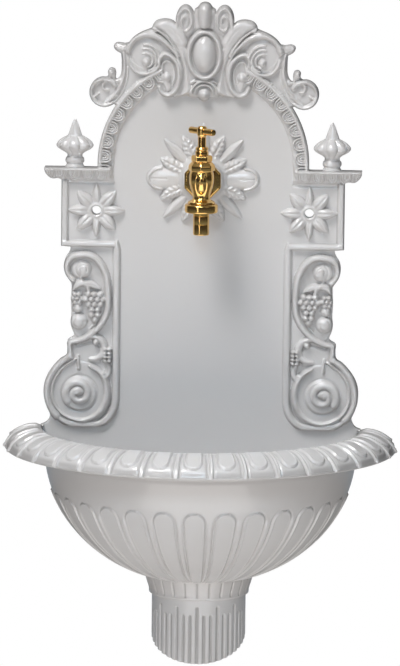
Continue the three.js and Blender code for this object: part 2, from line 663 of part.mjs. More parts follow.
/** The middle of the crest: the knob, the cabochon in its ring and the shell below. */
function crestMiddle() {
  const knobZ = archTopZ + CREST_HEIGHT - KNOB_HALF_HEIGHT;
  const cabochonZ = archTopZ + 0.1 * CREST_HEIGHT;
  const shellZ = archTopZ - 0.6 * CREST_HEIGHT;
  const foot = CREST_BACK_DEPTH - OVERLAP;
  const ringX = CABOCHON_HALF_WIDTH + RING_OFFSET;
  const ringZ = CABOCHON_HALF_HEIGHT + RING_OFFSET - OVERLAP;
  const innerFoot = at(ringX - RING_HALF_WIDTH, -foot);
  const crown = at(ringX, CREST_STEP - CREST_SCROLL_DEPTH);
  const ringSection = [innerFoot, crown, at(ringX + RING_HALF_WIDTH, -foot), innerFoot];
  const ring = new THREE.LatheGeometry(ringSection, 14).scale(1, 1, ringZ / ringX);
  const knobX = KNOB_HALF_WIDTH - OVERLAP;
  const shellPath = arc(0, shellZ, 1.65 * SHELL_RADIUS, 1.75 * SHELL_RADIUS, 0, 180, 7);
  const shellCrown = CREST_BACK_DEPTH + CREST_LEAF_RELIEF;
  return [
    slab(new THREE.Shape(ellipse(0, knobZ, KNOB_HALF_WIDTH, KNOB_HALF_HEIGHT, 12)), 0, CREST_BACK_DEPTH),
    dome(0, knobZ, knobX, KNOB_HALF_HEIGHT - OVERLAP, foot, CREST_SCROLL_DEPTH + CREST_STEP, 10),
    solidFrom(ring.translate(0, 0, cabochonZ)),
    dome(0, cabochonZ, CABOCHON_HALF_WIDTH, CABOCHON_HALF_HEIGHT, foot, CABOCHON_DEPTH, 12),
    ridge(shellPath, SHELL_RADIUS / 2, shellCrown, foot),
    dome(0, shellZ, SHELL_RADIUS, SHELL_RADIUS, FIELD_DEPTH - OVERLAP, shellCrown + CREST_STEP, 8),
  ];
}

/** The rosette: a round boss with pointed leaves all round and two blunt lobes at the sides. */
function rosette() {
  const boss = [
    [0, FIELD_DEPTH - OVERLAP],
    [BOSS_RADIUS, FIELD_DEPTH - OVERLAP],
    [BOSS_RADIUS - BOSS_DRAFT, BOSS_DEPTH - BOSS_SHOULDER],
    [BOSS_RADIUS - BOSS_SHOULDER, BOSS_DEPTH],
    [0, BOSS_DEPTH],
  ].map(([radius, depth]) => at(radius, depth));
  const pieces = [solidFrom(new THREE.LatheGeometry(boss, 20).rotateX(Math.PI).translate(0, 0, TAP_Z))];
  const root = BOSS_RADIUS + OVERLAP / 2;
  const crown = FIELD_DEPTH + ROSETTE_RELIEF;
  const around = (degrees, reach, width) => {
    const angle = THREE.MathUtils.degToRad(degrees);
    const x = root * Math.cos(angle);
    const z = TAP_Z + root * Math.sin(angle);
    pieces.push(leaf(x, z, degrees, reach - root, width, crown, crown - ROSETTE_DROOP));
  };
  for (let quarter = 0; quarter < 4; quarter++) {
    around(90 * quarter + 45, ROSETTE_RADIUS, ROSETTE_PETAL_WIDTH);
    around(90 * quarter + 23, ROSETTE_LEAF_RADIUS, ROSETTE_LEAF_WIDTH);
    around(90 * quarter + 67, ROSETTE_LEAF_RADIUS, ROSETTE_LEAF_WIDTH);
  }
  around(90, ROSETTE_RADIUS, ROSETTE_TALL_PETAL_WIDTH);
  around(270, ROSETTE_RADIUS, ROSETTE_TALL_PETAL_WIDTH);
  const lobeLength = ROSETTE_RADIUS - root;
  const lobePath = [0, 0.66, 0.86, 1].map((share) => at(root + share * lobeLength, TAP_Z));
  const lobeWidth = (t) => THREE.MathUtils.lerp(LOBE_WIDTH, LOBE_TIP_WIDTH, t * t);
  const lobe = flatBand(lobePath, lobeWidth, taper(crown, crown - ROSETTE_DROOP));
  return [...pieces, ...bothSides(lobe)];
}

function backPlate() {
  const side = joined([...entablature(), finial(), ...flowerBlock(), ...pilaster(), ...crestSide()]);
  const middle = [...plateGround(), ...archCarving(), ...crestMiddle(), ...rosette()];
  const whole = joined([...middle, ...bothSides(side)]);
  const toDepth = BOSS_DEPTH + CUT_OVERRUN;
  const screwRadius = SCREW_HOLE_DIAMETER / 2;
  const screwHole = rodToWall(screwRadius, SCREW_SPACING / 2, 0, -CUT_OVERRUN, toDepth, 16);
  const shankRadius = SHANK_DIAMETER / 2 + SLIDE_GAP;
  const shankHole = rodToWall(shankRadius, 0, TAP_Z, -CUT_OVERRUN, toDepth, 20);
  const behindWall = box(
    -RIM_OUTER_RADIUS,
    RIM_OUTER_RADIUS,
    tabBottomZ,
    archTopZ + CREST_HEIGHT + CUT_OVERRUN,
    -FINIAL_RADIUS,
    0,
  );
  return cut(whole, [...bothSides(screwHole), shankHole, behindWall]);
}

// Basin

const rimEdgeZ = RIM_Z - RIM_DROP;
const fluteTopZ = bowlTopZ - FLUTE_DROP;

/** The rim's closed section at one angle, as (radius, z): panels stand proud of the grooves beside them. */
function rimSection(isPanel) {
  const edge = isPanel ? RIM_OUTER_RADIUS : RIM_OUTER_RADIUS - RIM_SCALLOP;
  const rise = isPanel ? 0 : -PANEL_PROUD;
  const reach = edge - RIM_INNER_RADIUS;
  return [
    at(bowlInnerTopRadius, bowlTopZ - OVERLAP),
    at(BOWL_TOP_RADIUS - OVERLAP, bowlTopZ - OVERLAP),
    at(BOWL_TOP_RADIUS, bowlTopZ),
    at(RIM_INNER_RADIUS + reach * 0.25, bowlTopZ + RIM_LIP),
    at(edge - RIM_LIP, rimEdgeZ - RIM_LIP_DROP),
    at(edge, rimEdgeZ),
    at(RIM_INNER_RADIUS + reach * 0.78, rimEdgeZ + RIM_DROP * 0.62 + rise),
    at(RIM_INNER_RADIUS + reach * 0.4, rimEdgeZ + RIM_DROP * 0.93 + rise),
    at(RIM_INNER_RADIUS + reach * 0.12, RIM_Z),
    at(RIM_INNER_RADIUS - RIM_ROUNDING, RIM_Z - RIM_ROUNDING),
  ];
}

/** The rim's panels, of which one stands at the very front and two are halved by the wall. */
function rim() {
  const groove = rimSection(false);
  const panel = rimSection(true);
  const sections = [panel];
  const shares = [0];
  for (let i = 0; i < RIM_SEGMENTS; i++) {
    sections.push(panel, groove, panel);
    shares.push(...[1 / 6, 1 / 2, 5 / 6].map((part) => (i + part) / RIM_SEGMENTS));
  }
  return halfRound([...sections, panel], [...shares, 1]);
}

/** A body swept round the half-circle in front of the wall, with its sections evenly apart or at shares. */
function halfRound(sections, shares) {
  const last = sections.length - 1;
  return loft(sections, (i, point) => {
    const angle = Math.PI * (shares ? shares[i] : i / last);
    return new THREE.Vector3(-point.x * Math.cos(angle), -point.x * Math.sin(angle), point.y);
  });
}

/** The bowl's outer side, from its top down to the collar, as (radius, z). */
const bowlCurve = new THREE.CubicBezierCurve(
  at(BOWL_TOP_RADIUS, bowlTopZ),
  at(BOWL_TOP_RADIUS * 0.979, bowlTopZ - BOWL_HEIGHT * 0.396),
  at(BOWL_TOP_RADIUS * 0.745, bowlBottomZ + BOWL_HEIGHT * 0.158),
  at(COLLAR_TOP_RADIUS, bowlBottomZ),
);

/** Points of the bowl's side at a distance outside it, closed to the axis above and below. */
function bowlSection(steps, lift) {
  const side = bowlCurve.getPoints(steps).map((point, i) => {
    const tangent = bowlCurve.getTangent(i / steps);
    return point.addScaledVector(at(-tangent.y, tangent.x), lift(point.y));
  });
  const topZ = bowlTopZ + OVERLAP;
  side[0].y = topZ;
  const floorZ = lift(bowlBottomZ) < 0 ? bowlBottomZ + BASIN_WALL : bowlBottomZ;
  side[steps].y = floorZ;
  return [...side, at(0, floorZ), at(0, topZ)];
}

/** The flat back wall, whose outline follows the bowl's inner side. */
function basinBackWall() {
  const right = bowlCurve.getPoints(8).map((point) => at(point.x - BASIN_WALL / 2, point.y));
  const left = right.map((point) => at(-point.x, point.y)).reverse();
  const topX = RIM_INNER_RADIUS - BASIN_WALL / 2;
  const topZ = RIM_Z - SEAT_GAP;
  const cornerX = topX - BASIN_WALL;
  const cornerZ = topZ - BASIN_WALL;
  const top = [at(-topX, cornerZ), at(-cornerX, topZ), at(cornerX, topZ), at(topX, cornerZ)];
  return slab(new THREE.Shape([...top, ...right, ...left]), 0, BASIN_WALL);
}

function basin() {
  const plainSection = bowlSection(BOWL_STEPS, () => 0);
  const flutedSection = bowlSection(BOWL_STEPS, (z) => (z < fluteTopZ ? FLUTE_RELIEF : 0));
  const bowlSections = [plainSection];
  for (let i = 0; i < FLUTES; i++) bowlSections.push(flutedSection, flutedSection, plainSection);
  const hollowSection = bowlSection(BOWL_STEPS, () => -BASIN_WALL);
  const axisTop = hollowSection.pop();
  axisTop.y += OVERLAP;
  hollowSection[0].y += OVERLAP;
  const hollow = new THREE.LatheGeometry([axisTop, ...hollowSection], 2 * HOLLOW_STEPS);
  const bowl = cut(halfRound(bowlSections), [solidFrom(hollow.rotateX(Math.PI / 2))]);
  return cut(joined([rim(), bowl, basinBackWall()]), [drainCutter()]);
}

/** An upright rod through the bowl's floor, midway between the wall and the collar's front. */
function drainCutter() {
  const radius = DRAIN_HOLE_DIAMETER / 2;
  const fromZ = bowlBottomZ - CUT_OVERRUN;
  const toZ = bowlBottomZ + BASIN_WALL + CUT_OVERRUN;
  const profile = [
    [0, fromZ],
    [radius, fromZ],
    [radius, toZ],
    [0, toZ],
  ];
  return turnedBody(profile, 0, -COLLAR_BOTTOM_RADIUS / 2, 16);
}

// Drain cover

function drainCover() {
  const topZ = bowlBottomZ - SEAT_GAP;
  const backZ = bowlBottomZ - COVER_BACK_LENGTH;
  const collarZ = topZ - COLLAR_HEIGHT;
  const sections = [];
  const steps = 2 * COVER_GROOVES;
  for (let i = 0; i <= steps; i++) {
    const angle = (Math.PI * i) / steps;
    const groove = i % 2 === 1 ? COVER_GROOVE_DEPTH : 0;
    const endZ = backZ - COVER_FRONT_DROP * Math.sin(angle);
    const innerRadius = COVER_RADIUS - COVER_WALL - COVER_GROOVE_DEPTH;
    sections.push([
      at(COLLAR_TOP_RADIUS, topZ),
      at(innerRadius, topZ),
      at(innerRadius, endZ),
      at(COVER_RADIUS - groove, endZ),
      at(COVER_RADIUS - groove, collarZ),
      at(COLLAR_BOTTOM_RADIUS, collarZ),
    ]);
  }
  return halfRound(sections);
}

// Tap, about a vertical axis in front of the wall

const tapY = -TAP_REACH;
const bodyFloorZ = FOOT_Z;
const spindleBore = SPINDLE_DIAMETER / 2 + SLIDE_GAP;
const onAxis = (points, sides) => turnedBody(points, 0, tapY, sides);

/** A ring or rod about the tap's axis between two heights, with flat or round sides and a bore. */
function collar(outerRadius, bottomZ, topZ, sides, boreRadius = 0, chamfer = 1) {
  const outer = [
    [0, bottomZ],
    [outerRadius - chamfer, bottomZ],
    [outerRadius, bottomZ + chamfer],
    [outerRadius, topZ - chamfer],
    [outerRadius - chamfer, topZ],
    [0, topZ],
  ];
  const blank = onAxis(outer, sides);
  return boreRadius > 0 ? cut(blank, [borer(boreRadius, bottomZ, topZ)]) : blank;
}

/** A twelve-sided cutting rod on the tap's axis, with room for a round rod of the radius inside its flats. */
function borer(radius, bottomZ, topZ) {
  const corner = radius / Math.cos(Math.PI / BORE_SIDES);
  const fromZ = bottomZ - CUT_OVERRUN;
  const toZ = topZ + CUT_OVERRUN;
  return onAxis([[0, fromZ], [corner, fromZ], [corner, toZ], [0, toZ]], BORE_SIDES);
}

const acrossToRadius = (across, sides) => across / 2 / Math.cos(Math.PI / sides);

function tapBody() {
  const footRadius = FOOT_DIAMETER / 2;
  const waistRadius = WAIST_DIAMETER / 2;
  const barrelRadius = BARREL_DIAMETER / 2;
  const up = taper(bodyFloorZ, BARREL_TOP_Z);
  const barrel = onAxis(
    [
      [0, bodyFloorZ],
      [footRadius, bodyFloorZ],
      [footRadius * 0.94, up(0.05)],
      [waistRadius * 1.2, up(0.15)],
      [waistRadius * 1.1, up(0.23)],
      [barrelRadius * 0.87, up(0.44)],
      [barrelRadius, up(0.64)],
      [barrelRadius * 0.93, up(0.9)],
      [barrelRadius * 0.87, BARREL_TOP_Z],
      [0, BARREL_TOP_Z],
    ],
    12,
  );
  const head = collar(acrossToRadius(BARREL_DIAMETER, 8), BARREL_TOP_Z - OVERLAP, BODY_TOP_Z, 8, 0, 3);
  const shank = rodToWall(SHANK_DIAMETER / 2, 0, TAP_Z, 0, TAP_REACH, 16);
  const almondDepth = TAP_REACH + BARREL_DIAMETER / 2;
  const almond = dome(0, TAP_Z + 1, 6, 13, almondDepth - 4, almondDepth + 2, 8);
  const inlet = rodToWall(INLET_BORE / 2, 0, TAP_Z, -CUT_OVERRUN, TAP_REACH - WAIST_DIAMETER / 2, 12);
  const outlet = borer(OUTLET_BORE / 2, bodyFloorZ, TAP_Z - INLET_BORE - CUT_OVERRUN);
  const spindleSocket = borer(spindleBore, BARREL_TOP_Z + CUT_OVERRUN, BODY_TOP_Z);
  return cut(joined([barrel, head, shank, almond]), [inlet, outlet, spindleSocket]);
}

function wallNut() {
  const nut = rodToWall(
    acrossToRadius(WALL_NUT_ACROSS, 8),
    0,
    TAP_Z,
    BOSS_DEPTH + SEAT_GAP,
    BOSS_DEPTH + SEAT_GAP + WALL_NUT_THICKNESS,
    8,
    Math.PI / 8,
  );
  return cut(nut, [rodToWall(SHANK_DIAMETER / 2 + SLIDE_GAP, 0, TAP_Z, 0, TAP_REACH, 16)]);
}

const bonnetFloorZ = BODY_TOP_Z + SEAT_GAP;
const packingFloorZ = BONNET_TOP_Z + SEAT_GAP;

function packingNut() {
  const radius = PACKING_DIAMETER / 2;
  const profile = [
    [0, packingFloorZ],
    [radius, packingFloorZ],
    [radius, PACKING_TOP_Z - 5],
    [radius - 1.2, PACKING_TOP_Z - 4],
    [radius - 1.2, PACKING_TOP_Z],
    [0, PACKING_TOP_Z],
  ];
  return cut(onAxis(profile, 12), [borer(spindleBore, packingFloorZ, PACKING_TOP_Z)]);
}

/** The hub with its T-bar, turned so that the bar's right end comes forward. */
function tapHandle() {
  const barZ = HUB_BOTTOM_Z + HUB_HEIGHT / 2;
  const hub = onAxis(
    [
      [0, HUB_BOTTOM_Z],
      [HUB_DIAMETER / 2 - 1.5, HUB_BOTTOM_Z],
      [HUB_DIAMETER / 2, HUB_BOTTOM_Z + 3],
      [HUB_DIAMETER / 2, HUB_BOTTOM_Z + HUB_HEIGHT - 3],
      [HUB_DIAMETER / 2 - 2, HUB_BOTTOM_Z + HUB_HEIGHT],
      [0, HUB_BOTTOM_Z + HUB_HEIGHT],
    ],
    12,
  );
  const radius = T_BAR_DIAMETER / 2;
  const half = T_BAR_LENGTH / 2;
  const end = half - 1.5;
  const profile = [
    at(0, -half),
    at(radius - 1, -half),
    at(radius, -end),
    at(radius, end),
    at(radius - 1, half),
    at(0, half),
  ];
  const bar = new THREE.LatheGeometry(profile, 8).rotateZ(Math.PI / 2).rotateZ(T_BAR_TURN);
  return joined([hub, solidFrom(bar.translate(0, tapY, barZ))]);
}

const unionTopZ = FOOT_Z - SEAT_GAP;
const tubeRadius = OUTLET_DIAMETER / 2;

const outletTube = () => collar(tubeRadius, OUTLET_END_Z, unionTopZ, 12, OUTLET_BORE / 2, 0.8);
const unionBore = tubeRadius + SLIDE_GAP;
const bonnetRadius = acrossToRadius(BONNET_ACROSS, 6);
const spindleFloorZ = BARREL_TOP_Z + SEAT_GAP;
const spindleTopZ = HUB_BOTTOM_Z - SEAT_GAP;
const unionNut = () =>
  collar(UNION_DIAMETER / 2, unionTopZ - UNION_HEIGHT, unionTopZ, 16, unionBore, 1.5);
const bonnet = () => collar(bonnetRadius, bonnetFloorZ, BONNET_TOP_Z, 6, spindleBore, 1);
const spindle = () => collar(SPINDLE_DIAMETER / 2, spindleFloorZ, spindleTopZ, 12, 0, 0.8);

const fountain = new THREE.Group();
fountain.add(
  meshOf("back_plate", backPlate(), enamel()),
  meshOf("basin", basin(), enamel()),
  meshOf("drain_cover", drainCover(), enamel()),
  meshOf("tap_body", tapBody(), brass()),
  meshOf("tap_wall_nut", wallNut(), brass()),
  meshOf("tap_bonnet", bonnet(), brass()),
  meshOf("tap_packing_nut", packingNut(), brass()),
  meshOf("tap_spindle", spindle(), brass()),
  meshOf("tap_handle", tapHandle(), brass()),
  meshOf("tap_union_nut", unionNut(), brass()),
  meshOf("tap_outlet", outletTube(), brass()),
);

export default fountain;
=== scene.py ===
"""A wall fountain in glossy white enamel with a polished brass tap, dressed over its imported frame.

Every shape is worked out in millimetres and goes into its mesh in metres. X runs to the right, Y into
the wall and Z up. Depths are measured forward from the wall, so a depth d lies at y = -d.
"""

import logging
import math
from collections.abc import Callable, Sequence
from dataclasses import dataclass, field
from enum import Enum

import bmesh
import bpy
import numpy as np
from mathutils import Matrix, Vector


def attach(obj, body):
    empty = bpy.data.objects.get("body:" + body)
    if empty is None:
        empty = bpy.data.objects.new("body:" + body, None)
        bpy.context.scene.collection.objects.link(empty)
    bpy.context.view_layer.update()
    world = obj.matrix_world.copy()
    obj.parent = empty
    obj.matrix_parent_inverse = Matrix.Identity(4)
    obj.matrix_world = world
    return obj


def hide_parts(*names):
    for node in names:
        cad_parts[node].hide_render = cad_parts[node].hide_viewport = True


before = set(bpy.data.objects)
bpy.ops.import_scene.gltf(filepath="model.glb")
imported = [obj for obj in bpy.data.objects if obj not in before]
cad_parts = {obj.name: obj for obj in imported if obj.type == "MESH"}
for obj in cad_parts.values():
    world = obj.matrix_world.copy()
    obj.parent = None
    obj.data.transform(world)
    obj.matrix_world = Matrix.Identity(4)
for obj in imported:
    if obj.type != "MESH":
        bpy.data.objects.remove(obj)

Array = np.ndarray
Size = float | tuple[float, float] | Callable[[Array], Array]
Point = tuple[float, float]
Corner = tuple[float, float, float]
Faces = list[list[int]]
Swell = Callable[[Array, Array], Array]
Window = tuple[slice, slice]

MM = 0.001
BODY = "fountain"
HANDLE_BODY = "handle"
LEAST_HALF_WIDTH = 0.05
SHARP_PLATE = 48
SHARP_CASTING = 50
SHARP_TURNED = 38
SHARP_NUT = 25
log = logging.getLogger("wall_fountain")


def smooth_step(low: float, high: float, value: Array) -> Array:
    """Rises from 0 at low to 1 at high along the curve 3t² - 2t³."""
    t = np.clip((value - low) / (high - low), 0, 1)
    return t * t * (3 - 2 * t)


def spline(points: Sequence[Point], steps: int = 8) -> Array:
    """A smooth curve through the points (Catmull-Rom).

    Args:
        points: Places that the curve goes through, in order.
        steps: Stretches between two neighbouring points.

    Returns:
        Places along the curve, as rows of two.
    """
    given = np.asarray(points, float)
    padded = np.vstack([2 * given[0] - given[1], given, 2 * given[-1] - given[-2]])
    a, b, c, d = padded[:-3, None], padded[1:-2, None], padded[2:-1, None], padded[3:, None]
    t = (np.arange(steps) / steps)[None, :, None]
    square, cube = 2 * a - 5 * b + 4 * c - d, 3 * b - a - 3 * c + d
    curve = 0.5 * (2 * b + (c - a) * t + square * t**2 + cube * t**3)
    return np.vstack([curve.reshape(-1, 2), given[-1:]])


def spiral(centre: Point, start: Point, end: Point, degrees: Point, steps: int = 40) -> Array:
    """An elliptic arc or spiral: the angle and both radii go evenly from their first value to their last.

    Args:
        centre: Its middle.
        start: Radii across and up where it starts.
        end: Radii across and up where it ends.
        degrees: First and last angle, from the X axis towards Z.
        steps: Stretches along it.

    Returns:
        Places along the curve, as rows of two.
    """
    t = np.linspace(0, 1, steps + 1)
    angle = np.radians(degrees[0] + (degrees[1] - degrees[0]) * t)
    across = start[0] + (end[0] - start[0]) * t
    up = start[1] + (end[1] - start[1]) * t
    return np.column_stack([centre[0] + across * np.cos(angle), centre[1] + up * np.sin(angle)])


def arc(centre: Point, radius: float, degrees: Point, steps: int = 30) -> Array:
    """A round arc, as a spiral whose radii stay the same."""
    return spiral(centre, (radius, radius), (radius, radius), degrees, steps)


def off_middle(value: Array, pitch: float) -> Array:
    """How far each value lies from the nearest multiple of a pitch, as a share of the pitch."""
    return value / pitch - np.floor(value / pitch + 0.5)


def size_at(size: Size, share: Array) -> Array:
    """A size along a path: one number, an even run between a pair, or a function of the share.

    Args:
        size: The size.
        share: Shares of the path's length.

    Returns:
        The size at each share.
    """
    if callable(size):
        return size(share)
    if isinstance(size, tuple):
        return size[0] + (size[1] - size[0]) * share
    return np.full_like(share, size)


def swelling(low: float, rise: float) -> Callable[[Array], Array]:
    """A size along a path that is greatest half way: low + rise · sin(πt)."""
    return lambda share: low + rise * np.sin(math.pi * share)


def measure(path: Array, x: Array, z: Array) -> tuple[Array, Array, Array]:
    """Measures every place against a path of straight stretches.

    Args:
        path: The path's corners, as rows of two.
        x: The places' X.
        z: The places' Z.

    Returns:
        The distance to the nearest point of the path, that point's share of the path's length, and 1 to
        the left of the path or -1 to its right.
    """
    lengths = np.hypot(*np.diff(path, axis=0).T)
    starts = np.concatenate([[0], np.cumsum(lengths)])
    best = np.full(x.shape, np.inf)
    share = np.zeros(x.shape)
    side = np.ones(x.shape)
    for (ax, az), (bx, bz), length, start in zip(path[:-1], path[1:], lengths, starts):
        if length == 0:
            continue
        ux, uz = (bx - ax) / length, (bz - az) / length
        along = np.clip((x - ax) * ux + (z - az) * uz, 0, length)
        dx, dz = x - ax - ux * along, z - az - uz * along
        distance = np.hypot(dx, dz)
        closer = distance < best
        best = np.where(closer, distance, best)
        share = np.where(closer, (start + along) / starts[-1], share)
        side = np.where(closer, np.where(ux * dz - uz * dx >= 0, 1.0, -1.0), side)
    return best, share, side


def inside(outline: Array, x: Array, z: Array) -> Array:
    """Signed distance to a closed outline, positive inside, by the even-odd count of crossings.

    Args:
        outline: The corners, as rows of two.
        x: The places' X.
        z: The places' Z.

    Returns:
        The distance at each place, below zero outside.
    """
    closed = np.vstack([outline, outline[:1]])
    distance, _, _ = measure(closed, x, z)
    within = np.zeros(x.shape, bool)
    for (ax, az), (bx, bz) in zip(closed[:-1], closed[1:]):
        if az != bz:
            within ^= ((az > z) != (bz > z)) & (x < (bx - ax) * (z - az) / (bz - az) + ax)
    return np.where(within, distance, -distance)


class Crown(Enum):
    """How a raised band is rounded across, from its middle line to its foot."""

    ROUND = "round"
    SOFT = "soft"
    FLAT = "flat"

    def rise(self, share: Array) -> Array:
        """Height as a share of the crown, at a share of the half width from the middle line.

        Args:
            share: Shares of the half width from the middle line.

        Returns:
            Shares of the crown's height.
        """
        s = np.clip(share, 0, 1)
        if self is Crown.ROUND:
            return np.sqrt(1 - s**2)
        if self is Crown.SOFT:
            return 0.5 + 0.5 * np.cos(math.pi * s)
        return 1 - s**5


class Canvas:
    """Depths in front of the wall over an even grid of X and Z: the right half of a relief."""

    def __init__(self, width: float, bottom: float, top: float, step: float) -> None:
        """Lays out the grid with nothing raised.

        Args:
            width: Its reach from the middle plane.
            bottom: Its lowest Z.
            top: Its highest Z.
            step: Distance between neighbouring places.
        """
        self.step = step
        self.x = np.arange(0, width + step, step)
        self.z = np.arange(bottom, top + step, step)
        self.all_x, self.all_z = np.meshgrid(self.x, self.z)
        self.depth = np.zeros_like(self.all_x)

    def window(self, points: Array, margin: float) -> Window:
        """The rows and columns of the grid within a margin of some points.

        Args:
            points: The places, as rows of two.
            margin: How far round them it reaches.

        Returns:
            Slices of rows and columns.
        """
        low, high = points.min(axis=0) - margin, points.max(axis=0) + margin
        columns = slice(int(np.searchsorted(self.x, low[0])), int(np.searchsorted(self.x, high[0])))
        rows = slice(int(np.searchsorted(self.z, low[1])), int(np.searchsorted(self.z, high[1])))
        return rows, columns

    def places(self, window: Window) -> tuple[Array, Array]:
        """X and Z of the places in a window."""
        return self.all_x[window], self.all_z[window]

    def lift(self, window: Window, where: Array, depth: Array) -> None:
        """Raises the relief to a depth in a part of a window, where it isn't already higher."""
        self.depth[window] = np.where(where, np.maximum(self.depth[window], depth), self.depth[window])

    def bead(self, path: Array, width: Size, crown: Size, foot: float, shape: Crown = Crown.ROUND) -> None:
        """Raises a band along a path: foot + (crown - foot) · rise(distance / half width).

        Args:
            path: Its middle line.
            width: Its width along the way.
            crown: Its depth along the way.
            foot: The depth that it stands on.
            shape: How it is rounded across.
        """
        widest = float(size_at(width, np.linspace(0, 1, 9)).max())
        window = self.window(path, widest)
        distance, share, _ = measure(path, *self.places(window))
        half = np.maximum(size_at(width, share) / 2, LEAST_HALF_WIDTH)
        top = size_at(crown, share)
        self.lift(window, distance < half, foot + (top - foot) * shape.rise(distance / half))

    def groove(self, path: Array, width: Size, cut: Size) -> None:
        """Sinks a soft channel along a path: cut · (1 - (distance / half width)²) comes off the depth.

        Args:
            path: Its middle line.
            width: Its width along the way.
            cut: Its depth along the way.
        """
        widest = float(size_at(width, np.linspace(0, 1, 9)).max())
        window = self.window(path, widest)
        distance, share, _ = measure(path, *self.places(window))
        half = np.maximum(size_at(width, share) / 2, LEAST_HALF_WIDTH)
        amount = size_at(cut, share) * np.clip(1 - (distance / half) ** 2, 0, 1)
        self.depth[window] -= amount

    def dome(self, centre: Point, radii: Point, crown: float, foot: float, power: float = 0.5) -> None:
        """Raises an elliptic dome: foot + (crown - foot) · (1 - e²)^power, at the share e of the way out.

        Args:
            centre: Its middle.
            radii: Half sizes across and up.
            crown: Its greatest depth.
            foot: The depth that it stands on.
            power: 0.5 for a round dome, less for a flatter one.
        """
        reach = max(radii)
        window = self.window(np.asarray([centre], float), reach + self.step)
        x, z = self.places(window)
        out = ((x - centre[0]) / radii[0]) ** 2 + ((z - centre[1]) / radii[1]) ** 2
        self.lift(window, out < 1, foot + (crown - foot) * np.clip(1 - out, 0, 1) ** power)

    def leaf(
        self,
        path: Array,
        width: float,
        crown: Size,
        foot: float,
        root: float = 0.35,
        crease: float = 1.2,
        veins: int = 0,
    ) -> None:
        """Raises a pointed leaf: half width · sin(π(a + (1 - a)t)) at share t, with a sunk middle line.

        Args:
            path: Its middle line from root to tip.
            width: Its greatest width.
            crown: Its depth along the way.
            foot: The depth that it stands on.
            root: Share of a half wave at which it starts, so that its root has some width.
            crease: Depth of the middle line.
            veins: Side veins on each half.
        """
        crease_half, vein_height, vein_lean, edge_wave, fullness = 1.1, 1.1, 0.16, 0.14, 0.8
        window = self.window(path, width)
        distance, share, _ = measure(path, *self.places(window))
        swelling = np.sin(math.pi * (root + (1 - root) * share)) ** fullness
        half = np.maximum(width / 2 * swelling, LEAST_HALF_WIDTH)
        across = distance / half
        top = size_at(crown, share) - crease * np.exp(-((distance / crease_half) ** 2))
        if veins:
            wave = np.cos(2 * math.pi * veins * (share - vein_lean * across))
            top = top + vein_height * wave * np.clip(across * 2, 0, 1) * np.clip(3 * (1 - across), 0, 1)
            half = half * (1 + edge_wave * wave)
        self.lift(window, distance < half, foot + (top - foot) * np.clip(1 - across**2, 0, 1) ** 0.4)

    def plateau(self, outline: Array, depth: float, draft: float = 1.0) -> None:
        """Raises everything inside an outline to one depth, with sides that slope over the draft.

        Args:
            outline: The corners, as rows of two.
            depth: The depth inside.
            draft: How far in from the outline the full depth starts.
        """
        window = self.window(outline, 0)
        distance = inside(outline, *self.places(window))
        share = np.clip(distance / draft, 0, 1)
        self.lift(window, distance > 0, self.depth[window] + (depth - self.depth[window]) * share)

    def soften(self, passes: int) -> None:
        """Rounds every crease as thick enamel does: each place takes a weighted mean of its neighbours.

        Args:
            passes: How many times over.
        """
        for _ in range(passes):
            wide = np.pad(self.depth, 1, mode="edge")
            wide[:, 0] = wide[:, 2]
            rows = (wide[:-2] + 2 * wide[1:-1] + wide[2:]) / 4
            self.depth = (rows[:, :-2] + 2 * rows[:, 1:-1] + rows[:, 2:]) / 4


def mesh_piece(
    name: str,
    points: Array,
    faces: list[Sequence[int]],
    material: bpy.types.Material,
    attributes: dict[str, Array] | None = None,
) -> bpy.types.Object:
    """Puts a worked-out surface into a new object at the origin.

    Args:
        name: The piece's name.
        points: Its vertices in millimetres, as rows of three.
        faces: Its faces, as rows of vertex numbers, seen anticlockwise from outside.
        material: Its finish.
        attributes: Values for each vertex, by name.

    Returns:
        The object, which is in the scene.
    """
    mesh = bpy.data.meshes.new(name)
    mesh.from_pydata((points * MM).tolist(), [], faces)
    for key, values in (attributes or {}).items():
        layer = mesh.attributes.new(key, "FLOAT", "POINT")
        layer.data.foreach_set("value", np.ascontiguousarray(values, np.float32))
    mesh.update()
    mesh.polygons.foreach_set("use_smooth", np.ones(len(mesh.polygons), bool))
    mesh.materials.append(material)
    piece = bpy.data.objects.new(name, mesh)
    bpy.context.scene.collection.objects.link(piece)
    return piece


def grid_faces(rows: int, columns: int, start: int = 0, closed: bool = False, flip: bool = False) -> Faces:
    """Four-sided faces over a grid of vertices.

    Args:
        rows: Vertices along the first parameter.
        columns: Vertices along the second.
        start: Number of the grid's first vertex.
        closed: Whether the last column joins the first.
        flip: Whether the faces turn the other way.

    Returns:
        Rows of four vertex numbers.
    """
    across = columns if closed else columns - 1
    i, j = np.meshgrid(np.arange(rows - 1), np.arange(across), indexing="ij")
    after = (j + 1) % columns
    here, above = i * columns, (i + 1) * columns
    quads = np.stack([here + j, here + after, above + after, above + j], axis=-1)
    quads = quads.reshape(-1, 4) + start
    return (quads[:, ::-1] if flip else quads).tolist()


def prism(outline: Array, front: float, back: float) -> tuple[Array, Faces]:
    """A flat outline in X and Z, as a slab between two depths.

    Args:
        outline: Its corners, anticlockwise as seen from the front.
        front: Depth of its front.
        back: Depth of its back.

    Returns:
        Vertices and faces.
    """
    count = len(outline)
    x, z = outline.T
    rows = [np.column_stack([x, np.full(count, -depth), z]) for depth in (front, back)]
    caps = [list(range(count)), list(range(2 * count - 1, count - 1, -1))]
    return np.vstack(rows), grid_faces(2, count, closed=True, flip=True) + caps


